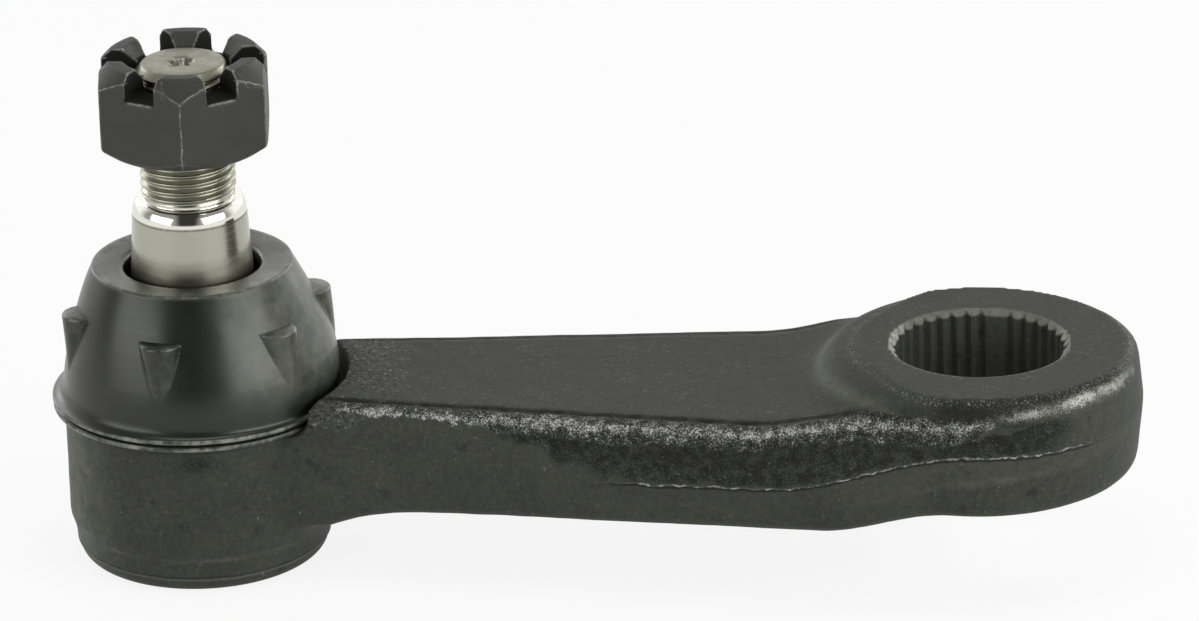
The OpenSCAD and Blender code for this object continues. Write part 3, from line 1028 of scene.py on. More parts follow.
@dataclass
class ArmForging:
    """The forging: tapered beam, splined eye with its boss, and the socket housing.

    Fields whose names end in _span are places along X, and those that end in _turn are angles in degrees,
    where a mark on the skin starts, is full, ebbs and ends.
    """

    beam_drop: float = 5.3
    beam_height_socket: float = 19.6
    beam_height_eye: float = 18.0
    beam_width_socket: float = 34.0
    top_edge: float = 3.5
    low_edge: float = 3.0
    draft: float = 0.8
    beam_parting: float = 8.4
    eye_parting: float = 11.8
    corner_radius: float = 24.0
    corner_bite: float = 1.2
    under_depth: float = 3.5
    under_length: float = 24.0
    eye_r: float = 27.4
    eye_top: float = 10.6
    boss_r: float = 25.1
    boss_height: float = 3.9
    boss_root: float = 5.0
    boss_lean: float = 0.25
    tip_step: float = 0.4
    tip_edge: float = 1.6
    land_r: float = 13.95
    groove_depth: float = 0.95
    groove_half: float = 0.85
    positions: int = 36
    blanks: int = 4
    blank_angle: float = 81.0
    mouth_chamfer: float = 1.1
    housing_r: float = 22.6
    seat_z: float = -1.1
    housing_bottom: float = -27.9
    foot_r: float = 21.6
    foot_height: float = 6.4
    foot_step: float = 1.2
    foot_roll: float = 2.6
    roll_step: float = 0.5
    lower_face_r: float = 21.0
    seat_r: float = 25.3
    seat_cut_top: float = 14.0
    mouth_r: float = 11.3
    mouth_flare: float = 1.2
    cavity_top: float = -3.7
    cavity_r: float = 14.85
    cover_r: float = 17.05
    cover_z: float = -26.9
    spring_z: float = -25.1
    lip_width: float = 1.6
    face_size: float = 0.62
    smooth_passes: int = 4
    fillet_passes: int = 70
    sharp_angle: float = 38.0
    around: int = 160
    past: float = 1.0
    scale_start: float = -80.0
    band_span: Span = (-110.0, -103.0, -2.0, 6.0)
    torn_span: Span = (-114.0, -111.0, -104.0, -98.0)
    shoulder_span: Span = (-22.0, -8.0, 6.0, 18.0)
    step_span: Span = (-109.0, -104.0, -30.0, -18.0)
    step_line_span: Span = (-110.5, -108.0, -22.0, -14.0)
    flash_span: Span = (-70.0, -60.0, 14.0, 22.0)
    flash_line_span: Span = (-63.0, -57.0, 16.0, 23.0)
    streak_span: Span = (-15.0, 2.0, 14.0, 19.0)
    eye_line_turn: Span = (-112.0, -98.0, -30.0, -16.0)
    shine_turn: Span = (-88.0, -74.0, -24.0, -8.0)
    pale_turn: Span = (-40.0, -10.0, 26.0, 66.0)

    def __post_init__(self) -> None:
        """Work out the beam's side line."""
        self.socket = np.array([-ARM_LENGTH, 0.0])
        self.start = self.socket + (self.housing_r, self.beam_width_socket / 2)
        reach = math.hypot(*self.start)
        side_angle = math.asin(self.eye_r / reach) - math.atan2(self.start[1], -self.start[0])
        self.way = np.array([math.cos(side_angle), math.sin(side_angle)])
        self.normal = np.array([-self.way[1], self.way[0]])
        across = self.eye_r - self.normal @ self.socket + self.corner_radius
        along = math.sqrt((self.housing_r - self.corner_bite + self.corner_radius) ** 2 - across**2)
        self.corner = self.socket + across * self.normal + along * self.way

    def half(self, x: np.ndarray) -> np.ndarray:
        """Half of the beam's height at X."""
        along = np.clip((x - self.start[0]) / -self.start[0], 0.0, 1.0)
        return mix(self.beam_height_socket, self.beam_height_eye, along) / 2

    def top(self, x: np.ndarray) -> np.ndarray:
        """Height of the forged top: the beam's, then the shoulder's and the eye's tip.

        Args:
            x: Places along X.

        Returns:
            The height at each place.
        """
        r = self.eye_r
        shoulder = self.eye_top - self.boss_height
        beam = mix(self.half(x) - self.beam_drop, shoulder, fade(x, -r - 10.5, -r + 9.5))
        return mix(beam, self.eye_top - self.tip_step, fade(x, -r / 3, r * 2 / 3))

    def edge(self, x: np.ndarray) -> np.ndarray:
        """Radius of the upper edge at X."""
        return mix(self.top_edge, self.tip_edge, fade(x, -self.eye_r / 3, self.eye_r * 2 / 3))

    def bottom(self, x: np.ndarray) -> np.ndarray:
        """Height of the underside, with its hollow corner at the housing.

        Args:
            x: Places along X.

        Returns:
            The height at each place.
        """
        r = self.eye_r
        under = mix(-self.half(x) - self.beam_drop, -self.eye_top, fade(x, -r + 1.5, -r / 6))
        along = np.clip((x - self.start[0]) / self.under_length, 0.0, 1.0)
        return under - self.under_depth * (1.0 - along) ** 3

    def parting(self, x: np.ndarray) -> np.ndarray:
        """Height of the parting line at X."""
        beam = self.beam_parting - self.half(x) - self.beam_drop
        return mix(beam, self.eye_parting - self.eye_top, fade(x, -self.eye_r - 7.5, 0.0))

    def over_parting(self, points: np.ndarray) -> np.ndarray:
        """Height of points over the wandering line of the flash."""
        return points[:, 2] - self.parting(points[:, 0]) - 0.25 * grain(points, 9.0, 8.0)

    def inset(self, points: np.ndarray) -> np.ndarray:
        """How far points lie inside the plan outline of the beam and eye.

        Args:
            points: Points of the surface.

        Returns:
            The distance of each point from the outline.
        """
        x, y = points[:, 0], np.abs(points[:, 1])
        on_side = x * self.way[0] + y * self.way[1] < 0.0
        return self.eye_r - np.where(on_side, x * self.normal[0] + y * self.normal[1], np.hypot(x, y))

    def outline(self) -> tuple[np.ndarray, np.ndarray]:
        """Half of the plan outline: hollow corner, straight side and the eye's round end.

        Returns:
            The points, and the outward direction at each.
        """
        to_socket = self.socket - self.corner
        start = math.degrees(math.atan2(to_socket[1], to_socket[0]))
        end = math.degrees(math.atan2(-self.normal[1], -self.normal[0]))
        bend = math.degrees(math.atan2(self.normal[1], self.normal[0]))
        hollow = np.array(arc((0.0, 0.0), 1.0, start, end, 18))
        tip = np.array(arc((0.0, 0.0), 1.0, bend, 1.0, 70)[1:])
        first = self.corner + self.corner_radius * hollow
        steps = np.linspace(0.0, 1.0, 101)[1:, None]
        side = mix(first[-1], self.eye_r * self.normal, steps)
        ways = np.vstack([-hollow, np.tile(self.normal, (len(steps), 1)), tip])
        return np.vstack([first, side, self.eye_r * tip]), ways

    def skin(self) -> bpy.types.Object:
        """The beam and eye as one closed shell.

        Returns:
            The new object.
        """
        points, ways = self.outline()
        x = points[:, 0]
        edge = self.edge(x)
        steps = np.linspace(0.0, math.pi / 2, 10)
        rows = []
        for a in steps:
            inset = self.draft + edge * (1 - math.sin(a))
            rows.append((inset, self.top(x) - edge * (1 - math.cos(a))))
        rows.append((0.0 * x, self.parting(x)))
        for a in steps:
            inset = self.draft + self.low_edge * (1 - math.cos(a)) + 0.0 * x
            rows.append((inset, self.bottom(x) + self.low_edge * (1 - math.sin(a))))
        loops = []
        for inset, height in rows:
            half = np.column_stack([points - inset[:, None] * ways, height])
            loops.append(np.vstack([half, half[::-1] * (1.0, -1.0, 1.0)]))
        around = len(loops[0])
        faces = sides(len(loops), around)
        last = (len(loops) - 1) * around
        for j in range(len(points) - 1):
            faces.append((around - 1 - j, around - 2 - j, j + 1, j))
            faces.append((last + j, last + j + 1, last + around - 2 - j, last + around - 1 - j))
        return solid("forged_arm", np.vstack(loops), faces)

    def boss(self) -> bpy.types.Object:
        """The eye's upper boss, a short cone.

        Returns:
            The new object.
        """
        low = min(self.boss_r + self.boss_root * self.boss_lean, self.eye_r - self.draft - 0.2)
        profile = [(low, self.eye_top - self.boss_root), (self.boss_r, self.eye_top)]
        return revolve("boss", profile, self.around)

    def housing(self) -> bpy.types.Object:
        """The socket housing with its stepped foot, before the lip is rolled.

        Returns:
            The new object.
        """
        foot_top = self.housing_bottom + self.foot_height
        profile = [
            (self.foot_r, self.housing_bottom),
            (self.foot_r, foot_top),
            (self.housing_r, foot_top + self.foot_step),
            (self.housing_r, self.seat_z + self.past),
        ]
        return revolve("housing", profile, self.around, self.socket[0])

    def roll_cutter(self) -> bpy.types.Object:
        """Ring that leaves the rolled lip and the step above it.

        Returns:
            The new object.
        """
        low = self.housing_bottom
        below = low - 3.0 * self.past
        outside = self.foot_r + 3.0 * self.past
        lip_r = self.foot_r - self.roll_step
        step_z = low + self.foot_roll + self.roll_step
        flat_r = lip_r - self.foot_roll
        profile = [(flat_r, below), (outside, below), (outside, step_z), (self.foot_r, step_z)]
        profile += arc((flat_r, low + self.foot_roll), self.foot_roll, 0.0, -90.0, 12)
        return revolve("roll", profile, around=240, x=self.socket[0], joined=True)

    def lower_cutter(self) -> bpy.types.Object:
        """Disc that cuts the eye's lower face level."""
        below = -self.eye_top - 8.0 * self.past
        return revolve("lower", [(self.lower_face_r, below), (self.lower_face_r, -self.eye_top)], around=200)

    def spline_cutter(self) -> bpy.types.Object:
        """Lands, grooves between the blank positions, and a chamfer at each mouth.

        Returns:
            The new object.
        """
        points_per_position = 28
        angle = full_turn(self.positions * points_per_position)
        step = 2 * math.pi / self.positions
        number = np.round(angle / step).astype(int)
        off = (angle - number * step) * self.land_r
        depth = np.clip(1.0 - np.abs(off) / self.groove_half, 0.0, 0.9) * self.groove_depth
        depth[number % (self.positions // self.blanks) == 0] = 0.0
        rise = np.linspace(0.0, self.mouth_chamfer, 9)
        flare = self.mouth_chamfer + self.past
        levels = [(-self.eye_top - self.past, flare)]
        levels += [(-self.eye_top + h, self.mouth_chamfer - h) for h in rise]
        levels += [(self.eye_top - self.mouth_chamfer + h, h) for h in rise]
        levels += [(self.eye_top + self.past, flare)]
        turn = angle + math.radians(self.blank_angle)
        rings = [ring(self.land_r + np.maximum(depth, out), turn, z) for z, out in levels]
        return loft("spline", np.array(rings))

    def socket_cutter(self) -> bpy.types.Object:
        """Bearing bore, cover seat, opening in the rolled lip and the mouth for the stud.

        Returns:
            The new object.
        """
        lip_r = self.cover_r - self.lip_width
        profile = [
            (lip_r, self.housing_bottom - self.past),
            (lip_r, self.cover_z),
            (self.cover_r, self.cover_z),
            (self.cover_r, self.spring_z),
            (self.cavity_r, self.spring_z),
            (self.cavity_r, self.cavity_top),
            (self.mouth_r, self.cavity_top),
            (self.mouth_r, self.seat_z - self.mouth_flare),
            (self.mouth_r + self.mouth_flare + self.past, self.seat_z + self.past),
        ]
        return revolve("socket", profile, around=128, x=self.socket[0])

    def seat_cutter(self) -> bpy.types.Object:
        """The flat seat for the boot, cut down into the beam's end."""
        profile = [(self.seat_r, self.seat_z), (self.seat_r, self.seat_cut_top)]
        return revolve("seat", profile, self.around, self.socket[0])

    def face_edge(self, x: np.ndarray) -> np.ndarray:
        """Radius of the upper face's edge at X; it is smaller where the beam runs up to the boss."""
        return self.boss_r - 3.6 * fade(x, -9.0, -18.0)

    def level_faces(self, points: np.ndarray) -> None:
        """Bring the eye's two machined faces to their heights.

        Args:
            points: Points of the surface, which are moved.
        """
        close = 0.6
        sunk = 0.06
        x, y, z = points.T
        radius = np.hypot(x, y)
        upper = (radius < self.face_edge(x) - 0.5) & (z > self.eye_top - close)
        lower = (radius < self.lower_face_r + 1.0) & (x > -2.0) & (z < close - self.eye_top)
        points[upper, 2] = self.eye_top
        points[lower, 2] = -self.eye_top - sunk

    def blend_boss(self, mesh: bpy.types.Mesh) -> None:
        """Round the boss off where the beam runs up to it.

        Args:
            mesh: Mesh to change.
        """
        x, y, z = coordinates(mesh).T
        share = between(np.hypot(x, y), 19.0, 21.5, 29.0, 34.0) * fade(x, -8.0, -17.0) * fade(z, 1.5, 3.5)
        soften(mesh, self.fillet_passes, share=share)

    def zones(self, points: np.ndarray, normal: np.ndarray) -> Shares:
        """Shares of each surface zone.

        Args:
            points: Points of the surface.
            normal: Outward directions at the points.

        Returns:
            Shares by name: band for the grainy upper edge, which the finish gives painted glints, scale for
                the
            rough wall under it and for painted shade under the boot's lip, and scar for the rough top and the
            torn edge beside the boot. Scale goes above 1 close under the band.
        """
        x, y, z = points.T
        inset = self.inset(points)
        depth = self.top(x) - z
        ragged = grain(points, 5.0, 1.0)
        fine = grain(points, 1.6, 2.0)
        inner = self.draft + self.edge(x)
        low = 1.4 + 2.0 * fade(x, -98.0, -62.0) + 0.7 * ragged + 0.6 * fine
        band = between(x, *self.band_span) * fade(inset, inner + 0.9, inner - 0.3)
        band = band * fade(depth, low + 0.8, low - 0.8) * fade(depth, -1.0, 0.0)
        band = band * (1.0 - fade(y, 0.0, 6.0) * fade(depth, 2.0, 1.0))
        start = self.scale_start + 19.0 * np.clip((depth - low) / 7.0, 0.0, 1.0) + 9.0 * ragged + 3.0 * fine
        above = z - self.parting(x) + 0.5 * fine
        scale = fade(x, start - 4.0, start + 9.0) * fade(x, 21.0, 8.0) * fade(above, -0.3, 0.9)
        scale = scale * fade(depth, low - 0.8, low + 0.8) * fade(inset, 4.0, 2.0)
        scale = scale * (1.0 + 0.6 * fade(depth, low + 4.2, low + 1.4))
        shoulder = fade(np.hypot(x, y), self.boss_r - 0.1, self.boss_r + 0.8) * fade(z, 4.5, 6.5)
        scale = np.maximum(scale, 0.7 * shoulder * between(x, *self.shoulder_span) * (1.0 - band))
        # Painted shade under the boot's lip at the front of the housing, drawn with the rough scale look.
        darker_tone = bell(x - self.socket[0] - 2.5, 4.8) * bell(z + 3.8, 2.4) * fade(y, -15.0, -20.0)
        scale = np.maximum(scale, 0.85 * darker_tone)
        reach = np.hypot(x - self.socket[0], y)
        scar = fade(reach, 43.0, 29.0) * fade(z, 1.8, 3.2) * fade(normal[:, 2], 0.2, 0.6)
        scar = scar * patchy(points, 6.0, 13.0, 0.85, 0.8)
        torn = between(x, *self.torn_span) * between(depth, 0.3, 1.2, 3.4, 5.2) * fade(inset, 4.5, 3.0)
        torn = torn * np.clip(0.8 + 0.9 * ragged + 0.6 * fine, 0.0, 1.0)
        return {"band": band, "scale": scale, "scar": np.maximum(scar, torn)}

    def roughen(self, mesh: bpy.types.Mesh) -> None:
        """Give the forged skin its unevenness, grain, flash and the step along the beam's upper edge.

        Args:
            mesh: Mesh to change.
        """
        relief = 0.34
        width = 0.55
        clear = 0.02
        points = coordinates(mesh)
        normal = directions(mesh)
        level = normal[:, 2]
        x = points[:, 0]
        zones = self.zones(points, normal)
        push = 0.10 * grain(points, 16.0, 3.0) + 0.05 * grain(points, 4.0, 4.0) - 0.12
        coarse = np.maximum(zones["band"], zones["scale"])
        push += coarse * (0.13 * grain(points, 1.5, 5.0) + 0.08 * grain(points, 0.9, 6.0))
        step = self.inset(points) - self.draft - self.edge(x) - 0.15 * grain(points, 6.0, 7.0)
        push -= relief * bell(step, width) * (level > 0.6) * between(x, *self.step_span)
        flash = bell(self.over_parting(points), width) * fade(np.abs(level), 0.5, 0.25)
        push += relief * flash * between(x, *self.flash_span) * patchy(points, 3.0, 9.0, 0.45, 0.9)
        points = points + push[:, None] * normal
        points[:, 0] = np.minimum(points[:, 0], self.eye_r - clear)
        points[:, 1] = np.clip(points[:, 1], clear - self.eye_r, self.eye_r - clear)
        points[:, 2] = np.maximum(points[:, 2], self.housing_bottom)
        self.level_faces(points)
        place(mesh, points)

    def gaps(self, points: np.ndarray, normal: np.ndarray) -> Shares:
        """Distances from the thin lines on the surface, and shares of the places where they run.

        Args:
            points: Points of the surface.
            normal: Outward directions at the points.

        Returns:
            Distances and shares by name: groove along the upper edges, flash along the parting line and
            crease over the rolled lip.
        """
        x, y, z = points.T
        level = normal[:, 2]
        inset = self.inset(points)
        on_beam = fade(level, 0.3, 0.55) * between(x, *self.step_line_span)
        on_beam = on_beam * fade(inset, 0.5, 1.5) * fade(y, 4.0, -4.0)
        on_eye = between(np.degrees(np.arctan2(y, x)), *self.eye_line_turn) * fade(z, 6.0, 7.5)
        at_beam = inset - self.draft - self.edge(x)
        at_eye = np.hypot(x, y) - self.boss_r - 0.15
        on_wall = fade(np.abs(level), 0.7, 0.4) * between(x, *self.flash_line_span) * fade(inset, 3.0, 2.2)
        height = z - self.housing_bottom
        on_foot = fade(np.hypot(x - self.socket[0], y), 18.5, 20.0) * fade(height, 5.0, 4.0)
        return {
            "groove": np.where(on_eye > on_beam, at_eye, at_beam),
            "groove_on": np.maximum(on_beam, 0.9 * on_eye),
            "flash": self.over_parting(points),
            "flash_on": on_wall,
            "crease": height - self.foot_roll - self.roll_step / 2,
            "crease_on": on_foot,
        }

    def pale(self, points: np.ndarray) -> np.ndarray:
        """Share of painted light and pale lines: a painted highlight on the boss's foot, painted light on the
        left of the housing, and pale lines along its step and on the eye's wall.

        Args:
            points: Points of the surface.

        Returns:
            The share at each point.
        """
        x, y, z = points.T
        radius = np.hypot(x, y)
        reach = np.hypot(x - self.socket[0], y)
        # Painted highlight on the fillet at the boss's foot.
        boss_foot = 0.8 * bell(radius - 26.6, 1.0) * fade(x, -10.0, -18.0) * fade(z, 2.0, 3.5)
        around = np.degrees(np.arctan2(-y, self.socket[0] - x))
        # Painted light on the left side of the housing.
        left = 1.35 * between(around, *self.pale_turn) * fade(reach, 19.0, 20.5) * fade(z, -1.0, -2.5)
        left = left * patchy(points, 2.6, 12.0, 0.75, 0.5)
        step = 0.7 * bell(z - self.housing_bottom - self.foot_height + 0.1, 0.3)
        step = step * between(reach, 19.0, 20.5, 23.4, 24.0) * patchy(points, 7.0, 14.0, 0.5, 1.1)
        over = z - self.parting(x)
        under = over + 4.7 - 0.089 * x
        streak = 0.75 * bell(under, 0.5) * between(x, *self.streak_span)
        streak = streak * np.maximum(patchy(points, 3.0, 15.0, 0.6, 0.8), 0.2)
        above = 0.16 * fade(under, -0.2, 0.4) * fade(over, 0.2, -0.5) * fade(x, -30.0, -10.0)
        on_eye = fade(radius, 24.0, 26.0) * fade(y, 0.0, -6.0)
        return np.clip(boss_foot + left + step + on_eye * (streak + above), 0.0, 1.0)

    def wear(self, points: np.ndarray) -> Shares:
        """Shares of the worn and machined places, and of painted highlights and painted light.

        Args:
            points: Points of the surface.

        Returns:
            Shares by name: mouth, rim, ends, painted_shine, pale and painted_crest; ends, painted_shine and
                painted_crest are painted highlights, and pale is painted light in part.
        """
        x, y, z = points.T
        radius = np.hypot(x, y)
        turn = np.degrees(np.arctan2(y, x))
        mouth_r = self.land_r + self.mouth_chamfer
        mouth_z = self.eye_top - self.mouth_chamfer
        mouth = fade(radius, mouth_r + 0.12, mouth_r - 0.05) * fade(np.abs(z), mouth_z + 0.02, mouth_z + 0.25)
        # Painted highlight on the eye's right shoulder.
        painted_shine = between(turn, *self.shine_turn) * fade(z, 6.8, 8.0) * (1.0 - 0.35 * fade(turn, -60.0, -40.0))
        return {
            "mouth": mouth,
            "rim": bell(radius - self.face_edge(x), 0.6) * fade(np.abs(z - self.eye_top), 1.7, 0.5),
            # Painted highlight on the left and right of each mouth's chamfer.
            "ends": mouth * (fade(x, -11.5, -14.0) + 0.6 * fade(x, 11.5, 14.0)),
            "painted_shine": painted_shine * bell(radius - 26.35, 0.6) * patchy(points, 4.0, 11.0, 0.75, 0.8),
            "pale": self.pale(points),
            # Painted highlight along the crest of the band.
            "painted_crest": bell(self.top(x) - z - 1.3, 0.8) * fade(self.inset(points), 6.0, 4.5),
        }

    def keep_zones(self, mesh: bpy.types.Mesh) -> None:
        """Keep the zones on the mesh for its finish, with none in the bore and on the upper face.

        Args:
            mesh: Mesh to change.
        """
        points = coordinates(mesh)
        normal = directions(mesh)
        x, y, z = points.T
        rough = 1.0 - fade(np.hypot(x, y), self.land_r + 2.4, self.land_r + 1.6)
        rough = rough * (1.0 - fade(np.abs(z - self.eye_top), 0.35, 0.1))
        keep(mesh, {name: values * rough for name, values in self.zones(points, normal).items()})
        keep(mesh, self.gaps(points, normal))
        keep(mesh, self.wear(points))

    def build(self) -> None:
        """Make the forging's mesh and finish it."""
        arm = self.skin()
        combine(arm, self.boss(), Cut.UNION)
        combine(arm, self.housing(), Cut.UNION)
        combine(arm, self.seat_cutter(), Cut.DIFFERENCE)
        even_out(arm, self.face_size)
        soften(arm.data, self.smooth_passes)
        soften(arm.data, self.fillet_passes, hollows_only=True)
        self.blend_boss(arm.data)
        self.roughen(arm.data)
        for tool in (self.lower_cutter(), self.spline_cutter(), self.socket_cutter(), self.roll_cutter()):
            combine(arm, tool, Cut.DIFFERENCE)
        clear_slivers(arm)
        self.keep_zones(arm.data)
        present(arm, PAINT, self.sharp_angle)
        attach(arm, Body.ARM.value)
        deliver(arm, "arm_forging")


# The ball stud


@dataclass
class BallStud:
    """Ball, neck, tapered shank, rounded shoulder and thread."""

    x: float = -ARM_LENGTH
    ball_z: float = -9.7
    ball_r: float = 12.0
    neck_r: float = 7.4
    neck_flare: float = 4.4
    taper_foot: float = 12.5
    taper_top: float = 32.9
    taper_large_r: float = 10.875
    taper_small_r: float = 9.6
    thread_z: float = 35.8
    thread_r: float = 8.0
    pitch: float = 1.5
    thread_depth: float = 0.78
    tip_z: float = 59.2
    tip_chamfer: float = 1.2
    mark_r: float = 2.4
    pin_hole_r: float = 1.8
    pin_hole_z: float = 50.2
    pin_hole_half: float = 20.0
    wear_line: float = 27.3
    sharp_angle: float = 40.0
    around: int = 128

    def plain_rows(self) -> list[Point]:
        """Rings from the ball's foot to the start of the thread.

        Returns:
            Radius and height of each ring.
        """
        neck_angle = math.degrees(math.acos(self.neck_r / self.ball_r))
        flare_z = self.taper_foot - self.neck_flare
        rows = arc((0.0, self.ball_z), self.ball_r, -88.0, neck_angle, 40)
        rows += [(self.neck_r, z) for z in np.linspace(rows[-1][1] + 0.4, flare_z, 4)]
        for t in np.linspace(0.0, 1.0, 8)[1:]:
            rows.append((mix(self.neck_r, self.taper_large_r, ease(t)), mix(flare_z, self.taper_foot, t)))
        for t in np.concatenate([np.linspace(0.0, 0.95, 24)[1:], np.linspace(0.955, 1.0, 10)]):
            r = mix(self.taper_large_r, self.taper_small_r, t)
            rows.append((r, mix(self.taper_foot, self.taper_top, t)))
        root = self.thread_r - 0.25
        height = 0.96 * (self.thread_z - self.taper_top)
        for a in np.linspace(0.0, math.pi / 2, 15)[1:]:
            r = mix(root, self.taper_small_r, math.cos(a) ** 0.8)
            rows.append((r, self.taper_top + height * math.sin(a) ** 1.15))
        return rows

    def thread_rings(self) -> np.ndarray:
        """Rings of the helical thread, which fades in and out at its ends.

        Returns:
            Rings for loft().
        """
        rings_per_turn = 13
        angle = full_turn(self.around)
        low, high = self.thread_z + 0.25, self.tip_z - self.tip_chamfer
        rings = []
        for z in np.linspace(low, high, int((high - low) / self.pitch * rings_per_turn)):
            phase = np.mod(z / self.pitch - angle / (2 * math.pi), 1.0)
            flank = ease((1.0 - np.abs(2.0 * phase - 1.0)) * 1.15 - 0.06)
            start = fade(z, self.thread_z + 0.2, self.thread_z + 1.9)
            end = fade(z, self.tip_z - 0.2, self.tip_z - 1.4)
            cut = flank * start * end + 0.30 * (1.0 - start)
            rings.append(ring(self.thread_r - 0.02 - self.thread_depth * cut, angle, z))
        return np.array(rings)

    def tip_rings(self) -> np.ndarray:
        """Rings of the chamfered tip and its punched centre mark.

        Returns:
            Rings for loft().
        """
        angle = full_turn(self.around)
        star = np.array([noise.noise(Vector((math.cos(a) * 1.7, math.sin(a) * 1.7, 0.4))) for a in angle])
        mark = self.mark_r * (0.86 + 0.42 * star)
        chamfer_r = self.thread_r - self.tip_chamfer
        face_r = chamfer_r - 0.3
        rows = [(chamfer_r + 0.35, -0.32), (chamfer_r, -0.06), (face_r, 0.0)]
        rows += [(mix(mark, face_r, t), -0.02) for t in (0.7, 0.4, 0.15)]
        rows += [(mark, -0.06), (mark * 0.86, -0.35), (mark * 0.55, -0.95), (0.5, -1.5), (0.05, -1.9)]
        return np.array([ring(r, angle, self.tip_z + rise) for r, rise in rows])

    def wear(self, points: np.ndarray) -> Shares:
        """Shares of the stained places and painted shade, of the polished shoulder, and of the shaded mark
        and dark line.

        Args:
            points: Points of the surface.

        Returns:
            Shares by name: stain_and_shade, polish and mark_shade_and_line.
        """
        x, y, z = points.T
        line, top = self.wear_line, self.taper_top
        shank = fade(z, line + 0.25, line - 0.25) * (0.5 + 0.5 * fade(z, line - 0.5, line - 7.0))
        # The thread is darkened as painted shade under the nut.
        thread = 0.8 * fade(z, self.thread_z + 0.2, self.thread_z + 1.6)
        face = 1.35 * fade(z, self.tip_z - 0.4, self.tip_z - 0.15)
        # Painted shade in the punched mark's recess.
        mark = fade(np.hypot(x, y), 3.6, 3.2) * between(z, 30.0, 50.0, self.tip_z - 0.5, self.tip_z - 0.04)
        return {
            "stain_and_shade": np.maximum(np.maximum(shank, thread), face),
            "polish": between(z, top, top + 0.2, self.thread_z - 0.2, self.thread_z + 0.6),
            "mark_shade_and_line": np.maximum(mark, 0.85 * bell(z - top + 0.15, 0.14)),
        }

    def build(self) -> None:
        """Make the stud's mesh and finish it."""
        plain = turned(self.plain_rows(), self.around)
        stud = loft("turned_ball_stud", np.concatenate([plain, self.thread_rings(), self.tip_rings()]))
        ends = [(self.pin_hole_r, -self.pin_hole_half), (self.pin_hole_r, self.pin_hole_half)]
        hole = revolve("pin_hole", ends, around=48)
        level = Matrix.Rotation(math.pi / 2, 4, "Y")
        hole.data.transform(Matrix.Translation((0.0, 0.0, self.pin_hole_z)) @ level)
        combine(stud, hole, Cut.DIFFERENCE)
        clear_slivers(stud)
        keep(stud.data, self.wear(coordinates(stud.data)))
        present(stud, BRIGHT, self.sharp_angle, self.x)
        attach(stud, Body.STUD.value)
        deliver(stud, "ball_stud")


# The slotted nut


